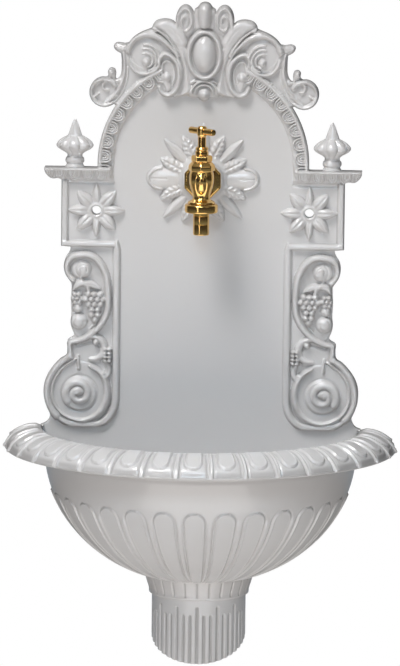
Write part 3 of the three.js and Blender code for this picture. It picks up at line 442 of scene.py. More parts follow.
def tidy(piece: bpy.types.Object, sharp: float) -> None:
    """Closes a piece's seams, turns its faces outward and keeps edges sharp beyond an angle in degrees.

    Args:
        piece: The piece.
        sharp: The angle.
    """
    mesh = bmesh.new()
    mesh.from_mesh(piece.data)
    bmesh.ops.remove_doubles(mesh, verts=mesh.verts, dist=1e-6)
    bmesh.ops.recalc_face_normals(mesh, faces=mesh.faces)
    mesh.to_mesh(piece.data)
    mesh.free()
    piece.data.set_sharp_from_angle(angle=math.radians(sharp))


def joined(bodies: Sequence[tuple[Array, Faces]]) -> tuple[Array, Faces]:
    """Several bodies' vertices and faces as one set.

    Args:
        bodies: Each body's vertices and faces.

    Returns:
        All the vertices and all the faces.
    """
    points, faces, start = [], [], 0
    for body_points, body_faces in bodies:
        points.append(body_points)
        faces += [[i + start for i in face] for face in body_faces]
        start += len(body_points)
    return np.vstack(points), faces


def add_body(piece: bpy.types.Object, points: Array, faces: Faces, smooth: bool = False) -> None:
    """Joins a closed body to a piece's mesh.

    Args:
        piece: The piece, which stays where it is.
        points: The body's vertices in millimetres.
        faces: Its faces, seen anticlockwise from outside.
        smooth: Whether they are shaded smooth.
    """
    mesh = bmesh.new()
    mesh.from_mesh(piece.data)
    corners = [mesh.verts.new(row) for row in (points * MM).tolist()]
    for face in faces:
        mesh.faces.new([corners[i] for i in face]).smooth = smooth
    mesh.to_mesh(piece.data)
    mesh.free()


def half_round_shell(radius: Array, height: Array, turn: Array) -> tuple[Array, Faces]:
    """A closed section carried round in front of the wall: (r·sin φ, -r·cos φ, z), capped at the wall.

    Args:
        radius: Radii, with a row for each place of the section and a column for each angle.
        height: Heights, laid out as the radii are.
        turn: One row of angles in degrees, from the left wall over the front to the right wall.

    Returns:
        Vertices, whose last row repeats the first, and faces.
    """
    angle = np.radians(turn)
    grid = np.stack([radius * np.sin(angle), -radius * np.cos(angle), height], -1)
    grid[:, (0, -1), 1] = 0
    rows, columns = radius.shape
    last = rows * columns
    ends = [list(range(0, last, columns)), list(range(columns - 1, last, columns))[::-1]]
    points = np.vstack([grid, grid[:1]]).reshape(-1, 3)
    return points, grid_faces(rows + 1, columns, flip=True) + ends


def decimate(piece: bpy.types.Object, most: int) -> None:
    """Thins a piece to a number of triangles, the flattest places first, and applies that to its mesh.

    Args:
        piece: The piece.
        most: The number of triangles.
    """
    triangles = sum(len(face.vertices) - 2 for face in piece.data.polygons)
    if triangles <= most:
        return
    modifier = piece.modifiers.new("thin", "DECIMATE")
    modifier.ratio = most / triangles
    modifier.use_collapse_triangulate = True
    evaluated = piece.evaluated_get(bpy.context.evaluated_depsgraph_get())
    thinned = bpy.data.meshes.new_from_object(evaluated)
    piece.modifiers.clear()
    old = piece.data
    piece.data = thinned
    bpy.data.meshes.remove(old)


def turned(
    profile: Array, sides: int, swell: Swell | None = None
) -> tuple[Array, Faces]:
    """A profile turned about the Z axis: (r·cos φ, r·sin φ, z), with r scaled by swell(φ, share along).

    Args:
        profile: Rows of (radius, z) from bottom to top, whose ends lie on the axis or close on each other.
        sides: Steps round the axis.
        swell: Factor on the radius at an angle and a share of the profile.

    Returns:
        Vertices about the axis, and faces.
    """
    share = np.linspace(0, 1, len(profile))[:, None]
    angle = np.arange(sides) * 2 * math.pi / sides
    factor = swell(angle[None, :], share) if swell else np.ones((len(profile), sides))
    radius = profile[:, :1] * factor
    height = np.broadcast_to(profile[:, 1:], radius.shape)
    grid = np.stack([radius * np.cos(angle), radius * np.sin(angle), height], -1)
    return grid.reshape(-1, 3), grid_faces(len(profile), sides, closed=True)


def bevelled(corners: Sequence[Corner], steps: int = 4) -> Array:
    """A profile with rounded corners: each corner becomes a short curve between its two sides.

    Args:
        corners: Rows of radius, height and how far before and after it the rounding starts.
        steps: Stretches in each rounding.

    Returns:
        Rows of (radius, z).
    """
    given = np.asarray(corners, float)
    made: list[Array] = [given[:1, :2]]
    t = np.linspace(0, 1, steps + 1)[:, None]
    for before, here, after in zip(given[:-2], given[1:-1], given[2:]):
        into, out = before[:2] - here[:2], after[:2] - here[:2]
        reach = here[2]
        if reach == 0:
            made.append(here[None, :2])
            continue
        first = here[:2] + into / np.hypot(*into) * min(reach, np.hypot(*into) / 2)
        last = here[:2] + out / np.hypot(*out) * min(reach, np.hypot(*out) / 2)
        made.append((1 - t) ** 2 * first + 2 * t * (1 - t) * here[:2] + t**2 * last)
    made.append(given[-1:, :2])
    return np.vstack(made)


@dataclass(frozen=True)
class Enamel:
    """Thick white enamel over cast metal: bright gloss, faint waviness, and painted shade in the hollows,
    where the paint is mixed toward a darker, slightly warmer colour.
    """

    white: tuple[float, float, float] = (0.66, 0.645, 0.635)
    # Painted shade: the darker colour that the hollow attribute mixes in where recesses lie in shade.
    hollow: tuple[float, float, float] = (0.34, 0.325, 0.315)
    roughness: float = 0.3
    coat: float = 0.7
    coat_roughness: float = 0.05
    wave_scale: float = 55
    wave_strength: float = 0.12
    wave_height: float = 0.0006
    speck_scale: float = 900

    def material(self) -> bpy.types.Material:
        """Builds the finish.

        Returns:
            A material that reads Object coordinates and the piece's hollow attribute, which sets the painted
            shade.
        """
        values = {
            "Wave Scale": self.wave_scale,
            "Speck Scale": self.speck_scale,
            "Paint": (*self.white, 1),
            "In Hollows": (*self.hollow, 1),
            "Roughness": self.roughness,
        }
        effect = painted_cast()
        material, shader, surface = coated("enamel", effect, values, self.wave_strength, self.wave_height)
        # The hollow attribute says how much painted shade each place gets.
        hollow = material.node_tree.nodes.new("ShaderNodeAttribute")
        hollow.attribute_name = "hollow"
        material.node_tree.links.new(hollow.outputs["Fac"], surface.inputs["Hollow"])
        shader.inputs["Coat Weight"].default_value = self.coat
        shader.inputs["Coat Roughness"].default_value = self.coat_roughness
        return material


@dataclass(frozen=True)
class Brass:
    """Polished brass: turned marks round the axis, faint handling marks, slightly uneven colour."""

    bright: tuple[float, float, float] = (0.93, 0.60, 0.21)
    dull: tuple[float, float, float] = (0.66, 0.36, 0.10)
    roughness: float = 0.1
    line_strength: float = 0.12
    line_height: float = 0.0002

    def material(self) -> bpy.types.Material:
        """Builds the finish.

        Returns:
            A metal material that reads Object coordinates.
        """
        values = {"Bright": (*self.bright, 1), "Dull": (*self.dull, 1), "Roughness": self.roughness}
        material, shader, _ = coated("brass", turned_metal(), values, self.line_strength, self.line_height)
        shader.inputs["Metallic"].default_value = 1
        return material


def new_material(name: str) -> tuple[bpy.types.Material, bpy.types.Node]:
    """A node material.

    Args:
        name: Its name.

    Returns:
        The material and its Principled shader.
    """
    material = bpy.data.materials.new(name)
    material.use_nodes = True
    return material, material.node_tree.nodes["Principled BSDF"]


def coated(
    name: str, effect: bpy.types.NodeTree, values: dict[str, object], strength: float, height: float
) -> tuple[bpy.types.Material, bpy.types.Node, bpy.types.Node]:
    """A material whose colour, roughness and fine height come from a shared effect.

    Args:
        name: Its name.
        effect: The effect's node group.
        values: The effect's settings by name.
        strength: How strongly the fine height turns the light.
        height: The fine height's size in metres.

    Returns:
        The material, its Principled shader and the effect's node.
    """
    material, shader = new_material(name)
    nodes, links = material.node_tree.nodes, material.node_tree.links
    surface = nodes.new("ShaderNodeGroup")
    surface.node_tree = effect
    for label, value in values.items():
        surface.inputs[label].default_value = value
    bump = nodes.new("ShaderNodeBump")
    bump.inputs["Strength"].default_value = strength
    bump.inputs["Distance"].default_value = height
    links.new(surface.outputs["Colour"], shader.inputs["Base Color"])
    links.new(surface.outputs["Roughness"], shader.inputs["Roughness"])
    links.new(surface.outputs["Height"], bump.inputs["Height"])
    links.new(bump.outputs["Normal"], shader.inputs["Normal"])
    return material, shader, surface


class Effect:
    """A shader node group under construction, with named inputs and outputs."""

    def __init__(self, name: str, inputs: dict[str, str], outputs: dict[str, str]) -> None:
        """Makes the group and its sockets.

        Args:
            name: The group's name.
            inputs: Kind of each input by name.
            outputs: Kind of each output by name.
        """
        self.tree = bpy.data.node_groups.new(name, "ShaderNodeTree")
        for label, kind in inputs.items():
            self.tree.interface.new_socket(label, in_out="INPUT", socket_type=kind)
        for label, kind in outputs.items():
            self.tree.interface.new_socket(label, in_out="OUTPUT", socket_type=kind)
        self.given = self.tree.nodes.new("NodeGroupInput").outputs
        self.result = self.tree.nodes.new("NodeGroupOutput").inputs

    def node(
        self, kind: str, inputs: dict[str | int, object] | None = None, **settings: object
    ) -> bpy.types.Node:
        """Adds a node, sets its options, and links or sets its inputs.

        Args:
            kind: The node's type.
            inputs: Sockets or values, by the input's name or number.
            settings: The node's options.

        Returns:
            The node.
        """
        made = self.tree.nodes.new(kind)
        for key, value in settings.items():
            setattr(made, key, value)
        for key, value in (inputs or {}).items():
            if isinstance(value, bpy.types.NodeSocket):
                self.tree.links.new(value, made.inputs[key])
            else:
                made.inputs[key].default_value = value
        return made

    def math(self, operation: str, a: object, b: object = 0.0) -> bpy.types.NodeSocket:
        """The result of one arithmetic step."""
        return self.node("ShaderNodeMath", {0: a, 1: b}, operation=operation).outputs[0]

    def mix(self, share: object, first: object, second: object) -> bpy.types.NodeSocket:
        """A colour between two others."""
        return self.node("ShaderNodeMix", {0: share, 6: first, 7: second}, data_type="RGBA").outputs[2]

    def noise(self, where: bpy.types.NodeSocket, scale: object, detail: float = 2) -> bpy.types.NodeSocket:
        """Smooth noise between 0 and 1 at a scale."""
        inputs = {"Vector": where, "Scale": scale, "Detail": detail}
        return self.node("ShaderNodeTexNoise", inputs).outputs[0]

    def finish(self, **outputs: bpy.types.NodeSocket) -> bpy.types.NodeTree:
        """Links the outputs, whose names have underscores for spaces, and returns the group.

        Args:
            outputs: The socket that each output takes.

        Returns:
            The group.
        """
        for label, socket in outputs.items():
            self.tree.links.new(socket, self.result[label.replace("_", " ")])
        return self.tree


def painted_cast() -> bpy.types.NodeTree:
    """The look of sprayed enamel on a casting: orange peel, a broad waviness, and painted shade in the
    hollows, made patchy by noise.

    Returns:
        The node group.
    """
    colour, number = "NodeSocketColor", "NodeSocketFloat"
    effect = Effect(
        "painted_cast",
        {
            "Paint": colour,
            "In Hollows": colour,
            "Hollow": number,
            "Roughness": number,
            "Wave Scale": number,
            "Speck Scale": number,
        },
        {"Colour": colour, "Roughness": number, "Height": number},
    )
    given = effect.given
    place = effect.node("ShaderNodeTexCoord").outputs["Object"]
    wave = effect.noise(place, given["Wave Scale"], 1)
    peel = effect.noise(place, given["Speck Scale"], 2)
    cloud = effect.noise(place, 9.0, 3)
    # Painted shade: the hollow share, made patchy by noise, mixes the paint toward the darker In Hollows
    # colour.
    shade_patchiness = effect.math("ADD", effect.math("MULTIPLY", cloud, 0.6), 0.5)
    shade_share = effect.math("MULTIPLY", given["Hollow"], shade_patchiness)
    colour_now = effect.mix(shade_share, given["Paint"], given["In Hollows"])
    mottled = effect.mix(effect.math("MULTIPLY", cloud, 0.08), colour_now, (1, 1, 1, 1))
    dulled = effect.math("MULTIPLY", effect.math("ADD", cloud, given["Hollow"]), 0.06)
    rough = effect.math("ADD", given["Roughness"], dulled)
    height = effect.math("ADD", wave, effect.math("MULTIPLY", peel, 0.12))
    return effect.finish(Colour=mottled, Roughness=rough, Height=height)


def turned_metal() -> bpy.types.NodeTree:
    """The look of polished brass: fine level lines from turning, and faint clouds where it is dulled.

    Returns:
        The node group.
    """
    colour, number = "NodeSocketColor", "NodeSocketFloat"
    effect = Effect(
        "turned_metal",
        {"Bright": colour, "Dull": colour, "Roughness": number},
        {"Colour": colour, "Roughness": number, "Height": number},
    )
    given = effect.given
    place = effect.node("ShaderNodeTexCoord").outputs["Object"]
    stretched = effect.node("ShaderNodeMapping", {"Vector": place, "Scale": (60, 60, 2600)}).outputs[0]
    lines = effect.noise(stretched, 1.0, 2)
    cloud = effect.noise(place, 45.0, 3)
    patch = effect.math("POWER", cloud, 2.2)
    tone = effect.mix(effect.math("MULTIPLY", patch, 0.8), given["Bright"], given["Dull"])
    rough = effect.math("ADD", given["Roughness"], effect.math("MULTIPLY", patch, 0.12))
    return effect.finish(Colour=tone, Roughness=rough, Height=lines)


@dataclass
class PlateCarving:
    """The back plate's whole relief, drawn on a canvas for its right half."""

    step: float = 0.75
    width: float = 195
    bottom: float = -262.7
    top: float = 254
    field_depth: float = 10
    edge_depth: float = 9.4
    edge_rounding: float = 2.2
    arch_centre: Point = (0, 57)
    arch_outer: float = 127
    arch_band: float = 17
    arch_tongues: float = 10.5
    crest_base_z: float = 184
    crest_height: float = 68.5
    knob_half: float = 8.8
    flower_centre: Point = (128, 0)
    screw_radius: float = 5.5
    tap_centre: Point = (0, 40)
    shank_radius: float = 10.8
    canvas: Canvas = field(init=False)
    edge: Array = field(init=False)

    def __post_init__(self) -> None:
        """Starts the canvas."""
        self.canvas = Canvas(self.width, self.bottom, self.top, self.step)
        self.edge = self.silhouette()

    def body_outline(self) -> Array:
        """The plate's right half below the crest: tab, volute, scroll, flower block and arch.

        Returns:
            Its corners, as rows of two.
        """
        below = self.bottom - 6
        volute = spline(
            [
                (194, self.bottom), (188, -260.4), (184, -256), (182.4, -249), (186, -240), (189.6, -228),
                (189.7, -214), (186, -202), (178.8, -191), (170.4, -182), (163, -177), (161.8, -168),
                (161.8, -159), (154, -153), (157.2, -143), (158.2, -136), (157.4, -126), (158, -110),
                (157.4, -92), (159, -87), (164.2, -79), (166.7, -70), (165.5, -60), (160.5, -51.5),
                (158.5, -45),
            ],
            5,
        )
        block = np.array([(170.4, -44), (170.4, 38)], float)
        arch = arc(self.arch_centre, self.arch_outer, (0, 90), 90)
        return np.vstack([[(-6, below)], [(194, below)], volute, block,
                          [(self.arch_outer, 38)], arch, [(-6, self.arch_centre[1] + self.arch_outer)]])

    def crest_outline(self) -> Array:
        """The crest's right half: ear, shoulder leaf, big volute, side tip, stem, curl and end scroll.

        Returns:
            Its corners, as rows of two.
        """
        ear = spiral((23.4, 46.5), (11.6, 18.6), (11.6, 18.6), (150, -12), 16)
        shoulder = spline([(38, 45.6), (43, 47.4), (49.4, 47.8), (57.8, 45.6), (62, 41), (63.2, 36.8)], 4)
        volute = spline([(67.5, 35), (77, 31), (85.7, 25), (91, 18.6)], 4)
        tip = spline([(96, 17.6), (104, 18.6), (108.6, 16), (108.2, 11.5), (104.5, 8), (100, 5.8)], 4)
        stem = spline([(99.4, -2), (99.4, -14), (101, -21), (104.5, -25.5), (106.6, -24), (106, -18)], 4)
        curl = spline([(107.6, -13.2), (112, -12), (115.4, -15), (115.2, -21), (118, -23.4)], 4)
        end = arc((119.6, -41), 18.2, (82, -128), 26)
        low = self.arch_outer - 8
        under = arc((0, self.arch_centre[1] - self.crest_base_z), low, (34, 66), 12)
        middle = [(-6, -46), (-6, 62.4), (8.6, 62.4), (12.4, 60)]
        points = np.vstack([middle, ear, shoulder, volute, tip, stem, curl, end, under,
                            [(36, -46), (17, -42)]])
        return points + (0, self.crest_base_z)

    def cornice_outline(self) -> Array:
        """The entablature seen from the front, whose outer end hangs in a scalloped curve."""
        return np.vstack([[(112, 52), (112, 36)], [(168, 36)],
                          spline([(171.6, 37.6), (175, 38.6), (180, 37.6), (184.6, 39.6), (188.4, 43.6),
                                  (190.4, 47.5), (190.9, 52)], 4)])

    def silhouette(self) -> Array:
        """Signed distance to the whole outline over the canvas, positive on the plate.

        Returns:
            A distance for every place of the canvas.
        """
        x, z = self.canvas.all_x, self.canvas.all_z
        knob_z = self.crest_base_z + self.crest_height - self.knob_half
        knob = np.vstack([[(self.knob_half, knob_z - 16)], arc((0, knob_z), self.knob_half, (0, 180)),
                          [(-self.knob_half, knob_z - 16)]])
        shapes = (self.body_outline(), self.crest_outline(), self.cornice_outline(), knob)
        edge = np.maximum.reduce([inside(shape, x, z) for shape in shapes])
        holes = [
            np.hypot(x - self.flower_centre[0], z - self.flower_centre[1]) - self.screw_radius,
            np.hypot(x - self.tap_centre[0], z - self.tap_centre[1]) - self.shank_radius,
        ]
        return np.minimum.reduce([edge, *holes])

    def draw(self) -> None:
        """Draws every ornament, then softens the relief and rounds its outer edge."""
        canvas = self.canvas
        canvas.depth[:] = self.field_depth
        self.arch()
        self.block()
        self.cornice()
        self.rib()
        self.fruit_scroll()
        self.lower_volute()
        self.crest_floor()
        self.crest_leaves()
        self.crest_scrolls()
        self.crest_middle()
        self.rosette()
        canvas.soften(1)
        at_tab = 8 * (canvas.all_z < self.bottom + 3)
        rounding = 1 - smooth_step(0, self.edge_rounding, self.edge + at_tab)
        canvas.depth -= rounding * np.clip(canvas.depth - self.edge_depth, 0, self.edge_rounding)

    def arch(self) -> None:
        """The arch's band in its own measures: s along it and q inward from its outer edge."""
        canvas = self.canvas
        x, z = canvas.all_x, canvas.all_z
        cx, cz = self.arch_centre
        above = z >= cz
        radius = np.where(above, np.hypot(x - cx, z - cz), x)
        q = self.arch_outer - radius
        middle = self.arch_outer - self.arch_band / 2
        s = np.where(above, middle * np.arctan2(z - cz, np.maximum(x, 1e-6)), z - cz)
        on_band = (z > 38) & (q > -1) & (q < self.arch_band + 2) & (x > 50)
        pitch = middle * math.pi / 2 / self.arch_tongues
        local = (s / pitch - np.floor(s / pitch) - 0.5) * pitch
        round_end, ground, tongue_depth, rib_depth = 8.1, 12, 12.8, 18.5
        end_q = self.arch_band - round_end
        across = np.abs(local) - round_end
        tongue = np.where(q < end_q, across, np.hypot(local, q - end_q) - round_end)
        base = np.where(q < self.arch_band - 2.6, ground, self.field_depth)
        height = np.where(tongue < 0, tongue_depth, base)
        for distance, wide, crown in ((-1.0, 1.2, 18.4), (-3.9, 1.1, 17.6), (-6.5, 1.0, 17)):
            bead = np.clip(1 - ((tongue - distance) / wide) ** 2, 0, 1)
            line = tongue_depth + (crown - tongue_depth) * np.sqrt(bead) * (tongue < 0.3)
            height = np.maximum(height, line)
        slope = 1 - 0.1 * np.clip((q - 5) / self.arch_band, 0, 1)
        canvas.depth = np.where(on_band, np.maximum(canvas.depth, height * slope), canvas.depth)
        rib = np.clip(1 - ((q - 2.7) / 2.9) ** 2, 0, 1)
        rib_height = ground + (rib_depth - ground) * np.sqrt(rib)
        canvas.depth = np.where(on_band & (rib > 0), np.maximum(canvas.depth, rib_height), canvas.depth)

    def block(self) -> None:
        """The flower block: a border, a ledge with a slot under it, and the flower."""
        canvas = self.canvas
        border = np.array([(161.9, -44), (171, -44), (171, 38), (161.9, 38)], float)
        canvas.plateau(border, 14.4, 1.2)
        ledge = np.array([(104, -44.5), (171, -44.5), (171, -36.8), (104, -36.8)], float)
        canvas.plateau(ledge, 16, 1.6)
        canvas.groove(np.array([(109, 33.5), (161, 33.5)], float), 5, 1.6)
        self.flower()

    def flower(self) -> None:
        """Eight petals round the screw hole: narrow up and down, pointed across, broad between."""
        canvas = self.canvas
        cx, cz = self.flower_centre
        shapes = ((13, 34.0), (15, 32.5), (9, 32.5), (15, 32.5))

        def crown(share: Array) -> Array:
            """A petal's depth along it, greatest a little before its middle."""
            return 12.8 + 5 * np.sin(math.pi * np.clip(share * 0.8 + 0.12, 0, 1))

        for i in range(8):
            width, reach = shapes[i % 4]
            angle = math.radians(45 * i)
            way = np.array([math.cos(angle), math.sin(angle)])
            path = np.vstack([way * 10, way * 20, way * 27, way * reach]) + (cx, cz)
            canvas.leaf(path, width, crown, 9.5, root=0.28, crease=1.7)
            for offset in (-0.24, 0.24):
                side = np.array([-way[1], way[0]]) * width * offset
                vein = np.vstack([way * 13, way * 20 + side, way * (reach - 7) + side * 0.8]) + (cx, cz)
                canvas.bead(spline(vein, 4), (1.2, 0.8), (15.4, 14.2), 11, Crown.SOFT)
        canvas.dome((cx, cz), (11.4, 11.4), 16.4, 10, power=0.3)
        canvas.groove(arc((cx, cz), 8.6, (0, 360)), 1.6, 1.1)

    def cornice(self) -> None:
        """The entablature: a cove from the block up to the top edge, with hanging tongues."""
        canvas = self.canvas
        outline = self.cornice_outline()
        window = canvas.window(outline, 0)
        x, z = canvas.places(window)
        within = inside(outline, x, z) > -1
        up = np.clip((z - 37) / 15, 0, 1)
        height = 14 + 9.5 * up**0.75
        canvas.lift(window, within, height)
        pitch, tongue_half, end, line_z, sink = 16.3, 6.4, 4.6, 48.6, 1.6
        local = off_middle(x - 154.6, pitch) * pitch
        drop = 48 - z
        tongue = np.where(drop < end, np.abs(local), np.hypot(local, drop - end)) - tongue_half
        below = within & (z < line_z)
        canvas.depth[window] -= np.where(below, sink, 0)
        for distance, wide, rise in ((-0.6, 1.3, 2.0), (-3.6, 1.2, 1.8), (-6.2, 1.1, 1.6)):
            bead = np.clip(1 - ((tongue - distance) / wide) ** 2, 0, 1)
            canvas.lift(window, below & (tongue < 0.6), height - sink + (rise + 1.2) * np.sqrt(bead))
        canvas.bead(np.array([(112, 50.3), (192, 50.3)], float), 3.4, 24, 18)

    def rib(self) -> None:
        """The pilaster's inner rib, pointed at its top, that turns outward under the big volute."""
        canvas = self.canvas
        path = np.vstack([
            [(103, -37), (103, -60), (103, -130), (103, -200), (103, -222)],
            spline([(103.2, -230), (105, -240), (110, -250), (118, -257.5), (129, -260.6), (143, -261),
                    (156, -260), (166.7, -256.4), (176, -250)], 4),
        ])

        def width(share: Array) -> Array:
            """The rib's full width, narrowing to a point at its top and a little at its outer end."""
            return 9 * np.clip(0.25 + share * 22, 0.25, 1) * np.clip(0.4 + (1 - share) * 9, 0.4, 1)

        canvas.bead(path, width, 15.4, 9.8, Crown.FLAT)
        canvas.groove(np.array([(108.6, -47), (108.6, -215)], float), 2.4, 0.9)

    def grape_bunch(self, top: Point, rows: Sequence[int], radius: float, lean: float = 0) -> None:
        """Grapes in offset rows, each a small ball, with the middle ones standing prouder.

        Args:
            top: The middle of the first row.
            rows: Grapes in each row.
            radius: A grape's radius.
            lean: How far each row stands to the right of the last.
        """
        spacing = radius * 1.78
        for row, count in enumerate(rows):
            for i in range(count):
                offset = i - (count - 1) / 2
                x = top[0] + offset * spacing + lean * row
                z = top[1] - row * spacing * 0.9
                self.canvas.dome((x, z), (radius, radius), 20.8 - 1.0 * abs(offset), 10.5)

    def fruit_scroll(self) -> None:
        """The pilaster's upper half: a C-scroll hooked round an eye, with the fruit inside it."""
        canvas = self.canvas
        canvas.plateau(self.scroll_ground(), 11.4, 1.5)
        scroll = np.vstack([
            arc((147, -70), 16.6, (-58, 62), 20),
            spline([(151, -54.6), (140, -53.4), (130.5, -56.4), (123.4, -63), (117.8, -72.6), (114.4, -83),
                    (112.8, -99), (112.8, -114), (114.6, -125), (119.4, -135), (125, -143), (132, -150),
                    (141, -155.6), (151, -159.4)], 5),
        ])
        canvas.bead(scroll, swelling(6.6, 1.2), swelling(18.4, 1.4), 10.5)
        canvas.groove(scroll, 1.6, 1.1)
        inner = spline([(122.4, -66), (119.4, -80), (118.4, -98), (118.6, -114), (121, -126), (127, -136),
                        (135, -143.6)], 5)
        canvas.bead(inner, (1.5, 2.4), 13.8, 10.5, Crown.SOFT)
        canvas.dome((145.4, -71.4), (12, 10.8), 16.6, 10.5, power=0.35)
        canvas.dome((142.6, -72), (8.4, 9.6), 19.6, 11, power=0.4)
        canvas.groove(spiral((143.6, -71.6), (5.4, 6), (4, 4.6), (200, -30), 24), 1.9, 2.0)
        canvas.groove(spiral((143.4, -71.6), (9, 9.6), (8.6, 9.4), (-60, 60), 16), 1.8, 1.6)
        stem = spline([(146, -80), (144.6, -86), (141, -92), (136, -96)], 4)
        canvas.bead(stem, (4, 2.6), (16, 15), 10.5)
        for path, width in (
            (spline([(144, -88), (150, -90), (156, -97.5)]), 8.4),
            (spline([(140, -89), (134, -89.4), (127, -92.6), (122, -96)]), 8.4),
            (spline([(137.4, -93), (136.4, -99), (137.6, -106)]), 5),
        ):
            canvas.leaf(path, width, (19.4, 17.4), 10.5, crease=1.3)
        self.grape_bunch((129.8, -101.5), (3, 4, 3, 2, 2, 1), 3.9, -0.2)
        self.grape_bunch((150.6, -102), (2, 3, 2), 3.1)
        canvas.dome((149.6, -119), (6.6, 6), 18.4, 10.5)
        canvas.dome((148, -135), (10, 9.8), 20, 10.5, power=0.4)
        canvas.groove(spiral((148, -135.4), (7.6, 7.2), (5.6, 5.4), (60, -200), 24), 1.7, 1.5)
        self.fold()

    def scroll_ground(self) -> Array:
        """The slightly raised ground inside the C-scroll."""
        return spline([(150, -52), (132, -53), (118, -68), (112, -88), (110.5, -110), (114, -130),
                       (124, -145), (140, -157), (155, -150), (158, -136), (157, -110), (157, -90),
                       (165, -74), (162, -60), (150, -52)], 4)

    def fold(self) -> None:
        """The tail of the C-scroll that folds down to the volute, with the hook and spray beside it."""
        canvas = self.canvas
        panel = np.array([(150, -165), (157, -158), (160.5, -160), (160, -180), (150, -184), (122, -186),
                          (120, -168), (132, -160)], float)
        canvas.plateau(panel, 12.4, 1.6)
        band = spline([(151, -159), (158, -161), (158.6, -168), (157.4, -178)], 6)
        canvas.bead(band, (6, 7), 18, 10.5, Crown.FLAT)
        canvas.bead(spline([(148.4, -177), (147.8, -185), (147.4, -193)], 5), (2.6, 4), (15.6, 17.6), 11)
        hook = spline([(135, -153.6), (127, -153.8), (120.4, -158), (117.4, -166), (119.4, -175),
                       (126, -180), (134, -181)], 5)
        canvas.bead(hook, swelling(5, 4), (17.6, 15), 10.5)
        canvas.dome((127.4, -160), (3.9, 3.9), 19.4, 11)
        self.grape_bunch((113.4, -168.6), (2, 2, 2, 2), 2.9)
        curl = spline([(114, -187), (111.6, -192), (112.8, -200), (118, -203.6), (121.6, -200)], 5)
        canvas.leaf(curl, 7, (14.6, 16), 10, root=0.3, crease=0.8)
        canvas.dome((118.3, -199), (4.2, 4), 16.6, 10.5)

    def lower_volute(self) -> None:
        """The big volute: an outer band, a ring, and a spiral that tightens to a hooked eye."""
        canvas = self.canvas
        disc = spiral((146, -222.5), (38.5, 40), (38.5, 40), (0, 356), 72)
        canvas.plateau(disc, 13, 2)
        outer = spline([(159.4, -177.6), (168, -184), (175.6, -192.4), (182, -203), (185.6, -214),
                        (186.2, -225), (184.4, -235), (180, -244), (174, -251)], 5)
        canvas.bead(outer, 9, (18.6, 17.6), 11)
        second = spline([(152, -181), (160, -186), (168.6, -193.6), (175, -203), (178.6, -213),
                         (179.4, -224), (177.6, -233), (173, -242), (166, -249), (156, -254), (144, -256),
                         (131, -252.4), (120.6, -243.6), (114.6, -231), (113.4, -218), (117, -205),
                         (124, -195.6), (134, -189.4)], 5)
        canvas.bead(second, lambda t: 3.2 + 4.6 * np.exp(-(((t - 0.72) / 0.2) ** 2)), (16.6, 18), 12)
        canvas.plateau(arc((146.8, -223), 20.8, (0, 354), 59), 16, 1.6)
        spine = spiral((147.6, -222.8), (16.4, 16.4), (3.4, 3.4), (-35, 500), 90)
        canvas.bead(spine, (9, 7), (18.9, 20.6), 15.6)
        canvas.dome((149, -221), (4.6, 4.6), 21.2, 15)
        canvas.groove(spiral((146.4, -222.6), (22.2, 22.2), (22.2, 22.2), (0, 360), 60), 2.6, 0.7)

    def crest_floor(self) -> None:
        """The crest's ground, which also covers the arch's band under the ornaments."""
        self.canvas.plateau(self.crest_outline(), 13.6, 0.8)

    def up(self, points: Array) -> Array:
        """Places given above the crest's base, on the plate."""
        return np.asarray(points, float) + (0, self.crest_base_z)

    def crest_dome(
        self, centre: Point, radii: Point, crown: float, foot: float, power: float = 0.5
    ) -> None:
        """A dome whose middle is given above the crest's base."""
        self.canvas.dome((centre[0], centre[1] + self.crest_base_z), radii, crown, foot, power)

    def crest_leaves(self) -> None:
        """The leaf over each shoulder, the bellied panel beside the cabochon, the end scroll's tip."""
        canvas, up = self.canvas, self.up
        panel = spline([(20, 24), (26, 31), (36, 44), (48, 46.6), (57, 44.4), (62.4, 37), (53.5, 33.4),
                        (46, 27), (38, 17), (33.6, 9), (30, 2), (24, -14), (24, -32), (28, -44), (14, -40),
                        (18, -20), (21, 0), (20, 24)], 4)
        canvas.plateau(up(panel), 18.2, 4.5)
        shoulder = up(spline([(28, 20), (36, 33), (47, 40), (60, 40)]))
        canvas.leaf(shoulder, 19, (19.6, 17.6), 14, root=0.25, crease=0.6)
        edge = up(spline([(31, 4), (34.6, 12), (40, 20), (47, 27.6), (55, 33.4), (62.6, 37)]))
        canvas.bead(edge, (3, 2.2), 20.6, 15)
        tip = up(spline([(91, 12), (98, 12.6), (108, 14)]))
        canvas.leaf(tip, 10.5, (17, 14.6), 11, root=0.4, crease=0.5)
        end_tip = up(spline([(101, -27), (106, -24), (111.5, -17)]))
        canvas.leaf(end_tip, 7.6, (16, 17), 11, root=0.4, crease=0.3)
        self.crest_dome((112, -17.4), (4.6, 5.4), 18, 11)

